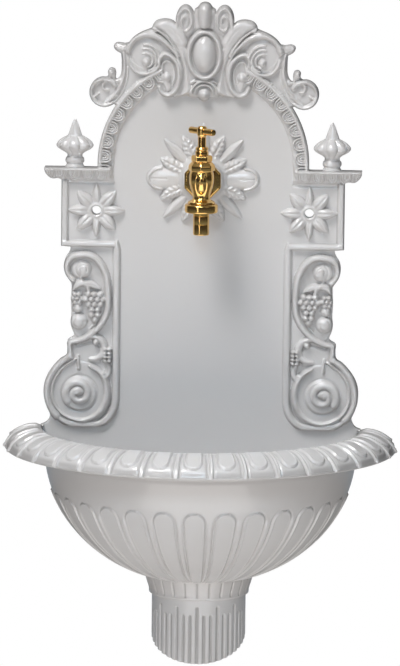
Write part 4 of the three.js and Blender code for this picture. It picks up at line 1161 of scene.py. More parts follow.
    def crest_scrolls(self) -> None:
        """The big volutes, the C-scrolls under them, the stems and the end scrolls."""
        canvas, up = self.canvas, self.up
        self.crest_dome((72.6, 4), (23, 24), 16.6, 12, power=0.3)
        volute = up(spline([
            (29.6, -30), (27.4, -20), (28, -8), (32, 2), (36.6, 9.6), (44, 18), (53.4, 25.6), (64, 29.4),
            (74, 29.2), (83, 25), (88.6, 18.4), (91.4, 10.6),
        ], 5))
        canvas.bead(volute, lambda t: 3.4 + 5.4 * smooth_step(0.3, 0.7, t), lambda t: 18.5 + 3 * t, 12.4)
        outer = up(spline([(58, 34), (66, 33), (76, 30.4), (85, 24), (91, 16.6)], 5))
        canvas.bead(outer, (5, 5), (18.6, 18), 11.5)
        for radii, degrees, crown in (
            ((8.4, 9.4), (62, 262), 21.6),
            ((13, 15), (70, 255), 20.6),
            ((17.4, 20), (78, 248), 19.8),
        ):
            curl = up(spiral((69.2, -2), radii, (radii[0] * 0.86, radii[1] * 0.78), degrees, 30))
            canvas.bead(curl, (2.6, 3.4), (18.6, crown), 14.4)
        under = up(spline([(58, -9), (63, -15), (72, -18), (81, -15.6), (87.6, -9), (90.6, 0)], 5))
        canvas.bead(under, (4.6, 3.6), (20, 18), 12)
        canvas.bead(up(spline([(72, -12), (80, -9), (86, -3), (90, 6)], 5)), (1.6, 2.4), 17, 13.5)
        self.crest_dome((69.4, -3.4), (5, 5.4), 23.4, 14)
        for path, width, crown in (
            ([(97, 6), (95.6, -4), (95.4, -16), (98, -27), (103, -38), (110, -47), (118, -53.6)], (4.6, 4),
             17.6),
            ([(91.6, -10), (92, -22), (95, -34), (100.6, -44.6), (107, -52)], (2.4, 1.8), 15.6),
        ):
            canvas.bead(up(spline(path, 5)), width, crown, 12)
        self.crest_dome((118.6, -41), (16.4, 16.6), 15, 12, power=0.3)
        end_rim = up(spiral((120, -41), (15.4, 15.6), (15.4, 15.6), (150, -120), 30))
        canvas.bead(end_rim, (4.4, 5), 19.4, 12)
        eye = up(spline([(107, -34), (109.6, -28), (116, -26.6), (121, -30.6), (120, -37), (115, -38)], 5))
        canvas.bead(eye, (4.4, 3), (17.6, 19), 13)
        below = up(spline([(109.6, -53), (118, -56), (127, -53), (131.4, -46.6), (127, -43)], 5))
        canvas.bead(below, (4, 3), 18.4, 13)
        canvas.bead(up(spline([(104, -44), (110, -45), (115, -49), (118, -54)], 5)), (2.6, 2.2), 16.4, 13)
        self.inner_scroll()
        self.ear()

    def ear(self) -> None:
        """The scroll beside the knob: an oval rim that turns in to a small eye, and its tail."""
        canvas, up = self.canvas, self.up
        self.crest_dome((23.2, 46), (11.6, 18.4), 17.4, 12.4, power=0.4)
        rim = up(np.vstack([
            spline([(21, 1), (22.4, 10), (26.4, 20), (31, 30), (33.4, 40)], 5),
            spiral((23, 46.5), (10.2, 16.8), (6.6, 11.4), (-20, 262), 40),
        ]))
        canvas.bead(rim, swelling(3, 1.8), lambda t: 17.4 + 3.6 * t, 12.4)
        eye = up(spiral((22.6, 45.4), (6.6, 11.4), (2, 3.4), (262, 560), 40))
        canvas.bead(eye, (3.2, 2.6), (20.6, 21.4), 13.4)

    def inner_scroll(self) -> None:
        """The C-scroll that bulges toward the cabochon, with a hook and a ball inside it."""
        canvas, up = self.canvas, self.up
        ground = up(spline([(53, -8), (44, 6), (32, -2), (27.6, -14), (28, -32), (34, -42.6), (42, -46),
                            (50, -42), (56, -30), (58, -16), (53, -8)], 4))
        canvas.plateau(ground, 13.6, 1.5)
        main = up(spline([(53.6, -8.6), (54, -1.6), (49, 5.6), (41.6, 4.4), (34, -2.6), (30.4, -12.6),
                          (30, -24), (32.4, -34), (37.6, -41), (44, -43.4), (50.6, -40), (54, -33.6)], 5))
        canvas.bead(main, swelling(4.2, 1.6), swelling(18.6, 2), 12.6)
        second = up(spline([(50, -12), (49.6, -5), (44.6, -1.6), (39, -5.4), (36, -14), (35.8, -23),
                            (38, -31)], 5))
        canvas.bead(second, (2.2, 2), (17, 16), 12.6)
        self.crest_dome((45.2, -21.6), (5.4, 5.8), 20.6, 12.6)
        canvas.bead(up(spline([(45, -27), (50, -23), (50.4, -16.4)], 5)), (3.4, 2.4), 17, 12.6)
        canvas.leaf(up(spline([(46, -27), (43.4, -33), (44, -39)])), 9, (18, 15.4), 12.6, crease=0.5)

    def crest_middle(self) -> None:
        """The knob, the cabochon in its oval ring, the border under it and the shell."""
        canvas, up = self.canvas, self.up
        top = self.crest_height - self.knob_half
        canvas.plateau(up([(-6, 36), (11, 36), (13, 44), (11.4, 62), (-6, 62)]), 15.4, 2)
        canvas.bead(up([(0, 43.5), (0, top)]), (14, 2 * self.knob_half), (24.4, 26.6), 12.6)
        ring = up(spiral((0, 6), (19, 27.6), (19, 27.6), (0, 360), 72))
        canvas.plateau(up(spiral((0, 6), (21.6, 30.2), (21.6, 30.2), (0, 354), 59)), 15.6, 2.2)
        canvas.bead(ring, 6, 21.4, 13)
        self.crest_dome((0, 6.8), (13.8, 22.6), 27.6, 12, power=0.42)
        canvas.bead(up([(-4, -25.6), (11.6, -25.6), (14.6, -28)]), 3, 17.6, 14)
        shell = up(spline([(-6, -28), (12, -28), (17, -36), (18, -44), (10, -46), (-6, -46)], 4))
        canvas.plateau(shell, 14, 1.6)
        for radius, wide, crown in ((15.4, 3.2, 19), (11, 2.6, 19)):
            canvas.bead(up(arc((0, -41.4), radius, (2, 90), 20)), wide, crown, 12)
        self.crest_dome((0, -41.6), (7.4, 7.8), 23, 10)

    def rosette(self) -> None:
        """The rosette behind the tap: a boss, two blunt lobes, plain pointed petals and veined leaves."""
        canvas = self.canvas
        cx, cz = self.tap_centre

        def ray(degrees: float, near: float, far: float, bend: float = 0) -> Array:
            """A path outward from the boss, bent sideways at its tip.

            Args:
                degrees: Its direction.
                near: Where it starts.
                far: Where it ends.
                bend: How far its tip stands aside.

            Returns:
                Places along it.
            """
            angle = math.radians(degrees)
            way = np.array([math.cos(angle), math.sin(angle)])
            side = np.array([-way[1], way[0]])
            middle = way * (near + far) / 2 + side * bend * 0.3
            return spline(np.vstack([way * near, middle, way * far + side * bend]) + (cx, cz), 6)

        for degrees, bend in ((23, 2), (66, -2), (-23, -2), (-66, 2)):
            canvas.leaf(ray(degrees, 27, 57, bend), 17, (18, 15.6), 9.4, root=0.25, crease=2, veins=5)
        for degrees in (45, -45):
            canvas.leaf(ray(degrees, 28, 67), 12.5, (16, 15), 9.4, root=0.22, crease=-0.8)
        for degrees in (90, -90):
            canvas.leaf(ray(degrees, 28, 67), 15, (16.4, 13), 9.4, root=0.22, crease=1.0)
        lobe = np.array([(28, cz), (52, cz)], float)
        canvas.bead(lobe, (24, 27), (17.4, 16.4), 9.4)
        canvas.groove(np.array([(44, cz), (62, cz)], float), 2.6, 1.2)
        tip = spline([(50, cz + 12.6), (58, cz + 10.6), (64, cz + 5.4), (65.6, cz), (64, cz - 5.4),
                      (58, cz - 10.6),
                      (50, cz - 12.6)], 5)
        canvas.bead(tip, 4.4, 16.4, 11, Crown.SOFT)
        canvas.dome((cx, cz), (33, 33), 24, 9.4, power=0.42)
        canvas.plateau(arc((cx, cz), 24.6, (0, 354), 59), 24, 1)


@dataclass
class BackPlate:
    """The back plate's casting: its carved front, its sides and its flat back, with the two finials."""

    carving: PlateCarving = field(default_factory=PlateCarving)
    most_triangles: int = 186_000
    finial_x: float = 154.6
    finial_axis: float = 8
    finial_flattening: float = 0.78
    cornice_top: float = 52
    tab_half_width: float = 179
    tab_spread: Point = (2, 10)
    tab_bottom_z: float = -300
    tab_back_depth: float = 4.3

    def build(self, enamel: bpy.types.Material) -> bpy.types.Object:
        """Builds the casting as one piece.

        Args:
            enamel: Its finish.

        Returns:
            The piece, riding on the fountain.
        """
        self.carving.draw()
        points, faces, hollow = self.front()
        # The hollow attribute carries the painted shade.
        piece = mesh_piece("back_plate_casting", points, faces, enamel, attributes={"hollow": hollow})
        self.close_back(piece)
        decimate(piece, self.most_triangles)
        self.add_finials(piece)
        self.add_tab(piece)
        piece.data.set_sharp_from_angle(angle=math.radians(SHARP_PLATE))
        normals = piece.modifiers.new("flat_fields", "WEIGHTED_NORMAL")
        normals.keep_sharp = True
        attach(piece, BODY)
        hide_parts("back_plate")
        return piece

    def front(self) -> tuple[Array, Faces, Array]:
        """The carved front with its sides, from the canvas and its mirror image.

        Returns:
            Vertices, faces and how deep each vertex lies in a hollow, which sets its painted shade.
        """
        canvas, step = self.carving.canvas, self.carving.step
        edge = self.carving.edge
        slope_z, slope_x = np.gradient(edge, step)
        length = np.maximum(np.hypot(slope_x, slope_z), 1e-6)
        snap = np.where(np.abs(edge) < step / 2, edge, 0)
        x = canvas.all_x - snap * slope_x / length
        z = canvas.all_z - snap * slope_z / length
        x[:, 0] = 0
        kept = edge > -step / 2
        above_field = canvas.depth > self.carving.field_depth + 0.05
        # Painted shade: raised relief darkens where it lies below its surroundings; the flat field stays
        # clear.
        hollow = self.hollowness(canvas.depth) * above_field

        def whole(half: Array, sign: int = 1) -> Array:
            """The half and its mirror image side by side."""
            return np.hstack([sign * half[:, :0:-1], half])

        x, z, kept = whole(x, -1), whole(z), whole(kept) > 0
        depth, hollow = whole(canvas.depth), whole(hollow)
        rows, columns = x.shape
        points = np.column_stack([x.ravel(), -depth.ravel(), z.ravel()])
        number = np.arange(rows * columns).reshape(rows, columns)
        around = [number[:-1, :-1], number[:-1, 1:], number[1:, 1:], number[1:, :-1]]
        corners = np.stack(around, -1).reshape(-1, 4)
        present = kept.ravel()[corners]
        quads = corners[present.all(axis=1)]
        three = corners[present.sum(axis=1) == 3]
        triangles = three[kept.ravel()[three]].reshape(-1, 3)
        return self.with_sides(points, quads, triangles, hollow.ravel())

    def with_sides(
        self, points: Array, quads: Array, triangles: Array, hollow: Array
    ) -> tuple[Array, Faces, Array]:
        """Drops the unused vertices and adds a side from each free edge straight back to the wall.

        Args:
            points: Every vertex of the front.
            quads: Its four-sided faces.
            triangles: Its three-sided faces.
            hollow: A value for each vertex.

        Returns:
            Vertices, faces and the values of the vertices that are left.
        """
        ends = [np.stack([quads, np.roll(quads, -1, axis=1)], -1).reshape(-1, 2)]
        ends.append(np.stack([triangles, np.roll(triangles, -1, axis=1)], -1).reshape(-1, 2))
        edges = np.vstack(ends)
        key = edges[:, 0].astype(np.int64) * len(points) + edges[:, 1]
        back = edges[:, 1].astype(np.int64) * len(points) + edges[:, 0]
        free = edges[~np.isin(key, back)]
        used = np.unique(np.concatenate([quads.ravel(), triangles.ravel()]))
        renumber = np.zeros(len(points), int)
        renumber[used] = np.arange(len(used))
        rim = np.unique(free)
        behind = np.zeros(len(points), int)
        behind[rim] = len(used) + np.arange(len(rim))
        low = points[rim] * (1, 0, 1)
        made = np.vstack([points[used], low])
        first, second = free.T
        sides = np.column_stack([renumber[second], renumber[first], behind[first], behind[second]])
        faces = renumber[quads].tolist() + renumber[triangles].tolist() + sides.tolist()
        return made, faces, np.concatenate([hollow[used], np.zeros(len(rim))])

    @staticmethod
    def hollowness(depth: Array, reach: int = 18, full: float = 3.2) -> Array:
        """How far each place lies below the mean of its surroundings, as a share from 0 to 1: the amount of
        painted shade there.

        Args:
            depth: The relief.
            reach: How far round the surroundings go.
            full: How far below the mean a full hollow lies.

        Returns:
            A share for every place.
        """
        mean = depth.copy()
        for _ in range(reach * 3):
            wide = np.pad(mean, 1, mode="edge")
            mean = (wide[:-2, 1:-1] + wide[2:, 1:-1] + wide[1:-1, :-2] + wide[1:-1, 2:] + 4 * mean) / 8
        return np.clip((mean - depth) / full, 0, 1)

    @staticmethod
    def close_back(piece: bpy.types.Object) -> None:
        """Fills the flat back between the free edges, round the holes.

        Args:
            piece: The casting.
        """
        mesh = bmesh.new()
        mesh.from_mesh(piece.data)
        free = [edge for edge in mesh.edges if edge.is_boundary]
        made = bmesh.ops.triangle_fill(mesh, edges=free, use_beauty=True)["geom"]
        new = [face for face in made if isinstance(face, bmesh.types.BMFace)]
        for face in new:
            face.normal_update()
        wrong = [face for face in new if face.normal.y < 0]
        bmesh.ops.reverse_faces(mesh, faces=wrong)
        mesh.to_mesh(piece.data)
        mesh.free()

    def add_tab(self, piece: bpy.types.Object) -> None:
        """Joins the tab that hangs into the basin, in front of the basin's back wall.

        Args:
            piece: The casting.
        """
        half, top = self.tab_half_width, self.carving.bottom
        low, high = half + self.tab_spread[0], half + self.tab_spread[1]
        outline = np.array([(-low, self.tab_bottom_z), (low, self.tab_bottom_z), (high, top), (-high, top)])
        points, faces = prism(outline, self.carving.field_depth, self.tab_back_depth)
        add_body(piece, points, faces)

    def add_finials(self, piece: bpy.types.Object) -> None:
        """Joins the two finials to the casting: a lobed bulb under a pointed cone, on a turned foot.

        Args:
            piece: The casting.
        """
        points, faces = self.finial()
        for sign in (1, -1):
            placed = points * (sign, 1, 1) + (sign * self.finial_x, 0, 0)
            add_body(piece, placed, [face[::sign] for face in faces], smooth=True)

    def finial(self) -> tuple[Array, Faces]:
        """One finial about its own axis, cut flat at the wall by holding its depth to zero or more.

        Returns:
            Vertices and faces.
        """
        heights = np.array([
            (0, -0.4), (10.9, -0.4), (11, 1.6), (10, 3.2), (9.8, 4.6), (11, 6), (11.4, 8.2), (10.8, 10.8),
            (9.4, 12.4), (9, 13.8), (9.2, 15.4), (11.6, 17.6), (16, 20), (20, 22.6), (22.2, 25.4), (22, 28),
            (19.6, 31.4), (15.4, 34.6), (11, 37), (8.9, 38), (8.4, 39.4), (7.2, 43), (5, 49), (2.8, 54.6),
            (1.2, 57.4), (0, 58),
        ])
        profile = spline(heights, 3)
        profile[:, 0] = np.maximum(profile[:, 0], 0)
        bulb = smooth_step(14, 19, profile[:, 1]) * (1 - smooth_step(36, 38, profile[:, 1]))
        cone = smooth_step(37.5, 39.5, profile[:, 1])

        def swell(angle: Array, share: Array) -> Array:
            """Eight rounded lobes on the bulb and six flats on the cone."""
            lobes = 0.8 + 0.2 * np.abs(np.cos(4 * angle)) ** 0.5
            flats = math.cos(math.pi / 6) / np.cos((angle + math.pi / 6) % (math.pi / 3) - math.pi / 6)
            return 1 + bulb[:, None] * (lobes - 1) + cone[:, None] * (0.35 * (flats - 1))

        points, faces = turned(profile, 48, swell)
        points[:, 1] = np.minimum(points[:, 1] * self.finial_flattening - self.finial_axis, 0)
        points[:, 2] += self.cornice_top
        return points, faces


@dataclass
class Basin:
    """The half-round basin: a scalloped rim of tongued panels, a fluted bowl and a flat back wall."""

    rim_z: float = -263
    inner_radius: float = 195
    outer_radius: float = 239.4
    panel_degrees: float = 10
    flute_degrees: float = 180 / 15
    bowl_top_z: float = -303
    bowl_bottom_z: float = -442
    bowl_top_radius: float = 188
    flute_drop: float = 36
    collar_radius: float = 65.7
    wall: float = 4
    steps_round: int = 720
    drain_radius: float = 20
    drain_depth: float = 29.5

    def bowl_side(self, count: int) -> Array:
        """The bowl's outer side as a cubic curve from its top down to the collar, as rows of (radius, z).

        Args:
            count: How many places.

        Returns:
            Rows of (radius, z).
        """
        top, bottom = self.bowl_top_z, self.bowl_bottom_z
        controls = np.array([
            (self.bowl_top_radius, top), (self.bowl_top_radius - 4, top - 55),
            (self.bowl_top_radius - 48, bottom + 22), (self.collar_radius, bottom),
        ])
        t = np.linspace(0, 1, count)[:, None]
        a, b, c, d = controls
        return (1 - t) ** 3 * a + 3 * t * (1 - t) ** 2 * b + 3 * t**2 * (1 - t) * c + t**3 * d

    def rim_side(self, count: int) -> Array:
        """The rim's section from its inner top edge over the roll and round under its lip to the bowl.

        Args:
            count: How many places.

        Returns:
            Rows of (radius, z).
        """
        r, z = self.inner_radius, self.rim_z
        top = spline([
            (r - 3.4, z - 5), (r - 2, z - 1.4), (r + 2.4, z - 0.1), (r + 8, z - 0.2), (r + 17, z - 1.8),
            (r + 26, z - 5.6), (r + 34, z - 11), (r + 40, z - 17.2), (r + 44.4, z - 23),
        ], 12)
        under = spline([
            (r + 44, z - 24.6), (r + 40, z - 26), (r + 32, z - 27.6), (r + 18, z - 29), (r + 4, z - 29.8),
            (r - 4.4, z - 31), (self.bowl_top_radius, z - 34), (self.bowl_top_radius, z - 38),
            (self.bowl_top_radius, z - 40),
        ], 12)
        curve = np.vstack([top, under])
        lengths = np.concatenate([[0], np.cumsum(np.hypot(*np.diff(curve, axis=0).T))])
        even = np.linspace(0, lengths[-1], count)
        return np.column_stack([np.interp(even, lengths, column) for column in curve.T])

    @staticmethod
    def outward(side: Array) -> Array:
        """Unit vectors square to a section, to its left as it runs.

        Args:
            side: Rows of (radius, z).

        Returns:
            One unit vector for each row.
        """
        along = np.gradient(side, axis=0)
        along /= np.maximum(np.hypot(along[:, :1], along[:, 1:]), 1e-9)
        return np.column_stack([-along[:, 1], along[:, 0]])

    def rim_relief(self, angle: Array, radius: Array, z: Array) -> Array:
        """How proud the rim stands: rounded panels, a nested tongue on each, and fillets between them.

        Args:
            angle: Degrees round the basin from its front.
            radius: The plain section's radius.
            z: The plain section's height.

        Returns:
            Millimetres outward.
        """
        pitch = self.panel_degrees
        local = off_middle(angle, pitch) * pitch * math.pi / 180 * radius
        half = pitch * math.pi / 360 * radius
        down = (radius - self.inner_radius) / 44.4
        on_top = smooth_step(0.02, 0.14, down) * smooth_step(-25.6, -24.6, z - self.rim_z)
        from_fillet = half - np.abs(local)
        fillet = smooth_step(3.4, 2.2, from_fillet)
        channel = np.exp(-(((from_fillet - 4.2) / 1.1) ** 2))
        panel = np.sqrt(np.clip(1 - (local / half) ** 2, 0, 1))
        end = self.inner_radius + 27.5
        tongue_half = half * 0.5
        tongue = np.where(radius < end, np.abs(local), np.hypot(local, (radius - end) * 1.15)) - tongue_half
        outline = np.clip(1 - ((tongue + 0.4) / 1.3) ** 2, 0, 1) ** 0.5
        moat = np.exp(-(((tongue - 1.6) / 0.9) ** 2))
        within = smooth_step(0, -1.5, tongue)
        body = 1.5 * panel - 1.0 * channel + 1.7 * fillet + 1.1 * outline + 1.2 * within - 0.8 * moat
        lip = -2.8 * smooth_step(0.86, 0.98, down) * np.abs(np.cos(local / half * math.pi / 2)) ** 0.5
        return on_top * (body - 1.6 + lip)

    def flute_relief(self, angle: Array, radius: Array, z: Array) -> Array:
        """How proud the bowl stands: raised round-topped tongues with a fine line round each.

        Args:
            angle: Degrees round the basin from its front.
            radius: The plain section's radius.
            z: The plain section's height.

        Returns:
            Millimetres outward.
        """
        pitch = self.flute_degrees
        local = off_middle(angle, pitch) * pitch * math.pi / 180 * radius
        half = pitch * math.pi / 360 * radius
        tongue_half = half * 0.66
        drop = self.bowl_top_z - self.flute_drop - z
        top = np.hypot(local, np.minimum(drop - tongue_half, 0)) - tongue_half
        fade = smooth_step(0, 4, drop + 3)
        line = np.clip(1 - ((top + 0.5) / 1.1) ** 2, 0, 1) ** 0.5
        within = smooth_step(0.5, -1.0, top)
        strip_half = 0.7 + half * 0.1
        strip = smooth_step(strip_half + 0.7, strip_half - 0.5, half - np.abs(local))
        strip = strip * smooth_step(6, 20, drop)
        moat = np.exp(-(((top - 1.5) / 0.9) ** 2))
        return fade * (1.3 * within + 0.6 * line + 1.4 * strip - 0.8 * moat)

    def build(self, enamel: bpy.types.Material) -> bpy.types.Object:
        """Builds the basin: the shell, its floor round the drain, and its back wall.

        Args:
            enamel: Its finish.

        Returns:
            The piece, riding on the fountain.
        """
        shell, shell_faces, low = self.shell()
        back_wall = prism(self.back_outline(), self.wall, 0.03)
        points, faces = joined([(shell, shell_faces), self.floor(), back_wall])
        hollow = np.concatenate([low, np.zeros(len(points) - len(low))])
        piece = mesh_piece("basin_casting", points, faces, enamel, attributes={"hollow": hollow})
        tidy(piece, SHARP_CASTING)
        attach(piece, BODY)
        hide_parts("basin")
        return piece

    def shell(self) -> tuple[Array, Faces, Array]:
        """The rim and bowl as one section carried round the half-circle in front of the wall.

        Returns:
            Vertices, faces and how deep each vertex lies in a hollow, which sets its painted shade.
        """
        rim = self.rim_side(84)
        bowl = self.bowl_side(110)[1:]
        turn = np.linspace(-90, 90, self.steps_round + 1)[None, :]
        outer = np.vstack([rim, bowl])
        normal = self.outward(outer)
        is_rim = (np.arange(len(outer)) < len(rim))[:, None]
        proud = np.where(
            is_rim,
            self.rim_relief(turn, outer[:, :1], outer[:, 1:]),
            self.flute_relief(turn, outer[:, :1], outer[:, 1:]),
        )
        radius = np.minimum(outer[:, :1] + normal[:, :1] * proud, self.outer_radius)
        height = outer[:, 1:] + normal[:, 1:] * proud
        inner = self.inner_section(46)
        radius = np.vstack([radius, np.broadcast_to(inner[:, :1], (len(inner), turn.size))])
        height = np.vstack([height, np.broadcast_to(inner[:, 1:], (len(inner), turn.size))])
        points, faces = half_round_shell(radius, height, turn)
        low = np.zeros(len(points))
        # Painted shade on the sunk parts of the rim and bowl.
        low[: proud.size] = (np.clip(-proud / 1.6, 0, 1) * 0.6).ravel()
        return points, faces, low

    def inner_section(self, count: int) -> Array:
        """The hollow's side from the floor's edge up to the rim's inner edge, one wall inside the bowl.

        Args:
            count: Places along the bowl's curve.

        Returns:
            Rows of (radius, z).
        """
        side = self.bowl_side(count)
        hollow = side - self.outward(side) * self.wall
        floor_z = self.bowl_bottom_z + self.wall
        hollow = hollow[hollow[:, 1] > floor_z + 0.5]
        edge = self.collar_radius - self.wall
        return np.vstack([[(edge, self.bowl_bottom_z), (edge, floor_z)], hollow[::-1],
                          [(self.bowl_top_radius - self.wall, self.bowl_top_z + 6),
                           (self.bowl_top_radius - 2.6, self.bowl_top_z + 16),
                           (self.inner_radius - 3.8, self.rim_z - 12)]])

    def floor(self) -> tuple[Array, Faces]:
        """The half-round floor with the drain hole, as rings: edge and hole below, hole and edge above.

        Returns:
            Vertices and faces.
        """
        centre = self.drain_depth
        count = 96
        angle = np.arange(count) * 2 * math.pi / count
        sin, cos = np.sin(angle), np.cos(angle)
        edge = self.collar_radius - self.wall / 2
        to_round = -centre * cos + np.sqrt(edge**2 - (centre * sin) ** 2)
        to_wall = np.where(cos < -0.01, (centre - 2) / np.maximum(-cos, 0.01), np.inf)
        reach = np.minimum(to_round, to_wall)
        low, high = self.bowl_bottom_z + 0.05, self.bowl_bottom_z + self.wall - 0.05
        hole = self.drain_radius
        rings = ((reach, low), (hole, low), (hole, high), (reach, high), (reach, low))
        rows = [np.column_stack([size * sin, -centre - size * cos, np.full(count, z)]) for size, z in rings]
        return np.vstack(rows), grid_faces(len(rings), count, closed=True)

    def back_outline(self) -> Array:
        """The flat back wall's outline, which follows the middle of the bowl's thickness.

        Returns:
            Its corners, as rows of two.
        """
        side = self.bowl_side(24)
        right = np.column_stack([side[:, 0] - self.wall / 2, side[:, 1]])[::-1]
        top = np.array([(self.inner_radius - 2, self.rim_z - 4), (self.inner_radius - 6, self.rim_z - 0.3)])
        half = np.vstack([right, top])
        return np.vstack([half, (half * (-1, 1))[::-1]])


@dataclass
class DrainCover:
    """The collar and the fluted half-tube under the bowl, open at the back and below."""

    top_z: float = -442.3
    collar_top: float = 65.7
    collar_height: float = 24
    radius: float = 57
    wall: float = 4
    back_z: float = -517
    front_drop: float = 28
    grooves: int = 21
    collar_grooves: int = 13
    long_groove_z: float = -477
    short_groove_z: float = -487
    groove_half: float = 2.3
    groove_depth: float = 2
    steps_round: int = 420

    def build(self, enamel: bpy.types.Material) -> bpy.types.Object:
        """Builds the cover as one closed shell.

        Args:
            enamel: Its finish.

        Returns:
            The piece, riding on the fountain.
        """
        angle = np.linspace(-90, 90, self.steps_round + 1)[None, :]
        end = self.back_z - self.front_drop * np.cos(np.radians(angle))
        collar_z = self.top_z - self.collar_height
        upper = np.array([(self.collar_top, self.top_z), (self.collar_top, self.top_z - 1.2),
                          (65, self.top_z - 5), (63.2, self.top_z - 11), (61, self.top_z - 18),
                          (60.6, collar_z + 1.6), (60, collar_z + 0.4), (58.4, collar_z),
                          (57.2, collar_z - 0.6)])
        upper = spline(upper, 4)
        down = np.linspace(0.012, 1, 70)[:, None]
        collar_rows, tube_rows = (len(upper), angle.size), (len(down), angle.size)
        radius = np.vstack([np.broadcast_to(upper[:, :1], collar_rows), np.full(tube_rows, self.radius)])
        from_z = collar_z - 0.6
        height = np.vstack([np.broadcast_to(upper[:, 1:], collar_rows), from_z + down * (end - from_z)])
        relief = self.relief(angle, height, len(upper))
        radius = radius + relief
        inner = self.radius - self.wall - 2
        radius = np.vstack([radius, np.full((2, angle.size), inner)])
        height = np.vstack([height, end, np.full((1, angle.size), self.top_z)])
        points, faces = half_round_shell(radius, height, angle)
        low = np.zeros(len(points))
        # Painted shade in the grooves.
        low[: relief.size] = np.clip(-relief / 2, 0, 1).ravel()
        piece = mesh_piece("drain_cover_casting", points, faces, enamel, attributes={"hollow": low})
        tidy(piece, SHARP_CASTING)
        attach(piece, BODY)
        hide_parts("drain_cover")
        return piece

    def relief(self, angle: Array, height: Array, upper_rows: int) -> Array:
        """Grooves: broad ones round the collar, and narrow round-topped ones down the tube.

        Args:
            angle: Degrees round the cover from its front.
            height: The plain surface's heights.
            upper_rows: How many rows belong to the collar.

        Returns:
            Millimetres outward.
        """
        pitch = 180 / self.collar_grooves
        local = np.abs(angle / pitch - np.floor(angle / pitch) - 0.5) * 2
        on_collar = (height < self.top_z - 2.5) & (height > self.top_z - self.collar_height + 3)
        collar = -1.1 * np.exp(-(((local - 1) / 0.16) ** 2)) * on_collar
        pitch = 180 / self.grooves
        order = np.floor(angle / pitch + self.grooves * 0.5)
        local = (angle / pitch + self.grooves * 0.5 - order - 0.5) * pitch * math.pi / 180 * self.radius
        start = np.where(order % 3 == 1, self.long_groove_z, self.short_groove_z)
        round_top = np.hypot(local, np.minimum(start - height, 0))
        section = np.clip(1 - (round_top / self.groove_half) ** 2, 0, 1)
        groove = -self.groove_depth * section * (height < start + 4)
        rows = np.arange(height.shape[0])[:, None] >= upper_rows
        return np.where(rows, groove, collar)


@dataclass(frozen=True)
class TurnedPart:
    """One piece turned about the tap's upright axis.

    Its corners are (radius, height, rounding), and it is closed by a straight bore or by the axis. Its
    flats are counted round it, and turned from the X axis.
    """

    node: str
    corners: tuple[Corner, ...]
    bore: float = 0
    sides: int = 64
    flats: int = 0
    turn: float = 0
    body: str = BODY
    sharp: float = SHARP_TURNED

    def profile(self) -> Array:
        """The bevelled outside, and the bore where there is one."""
        side = bevelled(self.corners)
        bore = [[(self.bore, side[0, 1])], side, [(self.bore, side[-1, 1])], [(self.bore, side[0, 1])]]
        return np.vstack(bore) if self.bore else side


BONNET = TurnedPart(
    "tap_bonnet",
    ((9.6, 67.3, 0), (10.6, 67.3, 0.3), (11, 68.2, 0.4), (11, 73.4, 0.4), (9.4, 75, 0.4), (8.4, 75, 0)),
    bore=5.3, sides=96, flats=6, turn=math.pi / 6, sharp=SHARP_NUT,
)
PACKING_NUT = TurnedPart(
    "tap_packing_nut",
    ((7, 75.3, 0), (7.8, 75.3, 0.3), (8, 76, 0.3), (8, 79.4, 0.4), (6.9, 80, 0.2), (6.9, 81.4, 0.2),
     (7.9, 81.8, 0.3), (7.9, 83, 0.3), (6.4, 84.9, 0.5), (6, 84.9, 0)),
    bore=5.3,
)
SPINDLE = TurnedPart(
    "tap_spindle",
    ((0, 56.4, 0), (4.9, 56.4, 0.5), (4.9, 96.6, 0.5), (0, 96.6, 0)),
    sides=48, body=HANDLE_BODY,
)
UNION_NUT = TurnedPart(
    "tap_union_nut",
    ((18, 6.3, 0), (19.2, 6.3, 0.5), (19.9, 7.6, 0.5), (19.9, 15, 0.6), (18.4, 16.6, 0.5), (17, 16.6, 0)),
    bore=10.05, sides=96,
)
OUTLET = TurnedPart(
    "tap_outlet",
    ((8.6, -20.9, 0), (9.2, -20.9, 0.3), (9.7, -20, 0.3), (9.7, -8.6, 0.1), (9.2, -8.2, 0.1),
     (9.7, -7.8, 0.1), (9.7, 1.8, 0.1), (9.2, 2.2, 0.1), (9.7, 2.6, 0.1), (9.7, 16.2, 0.2), (9.4, 16.6, 0.1),
     (8.6, 16.6, 0)),
    bore=6.5,
)


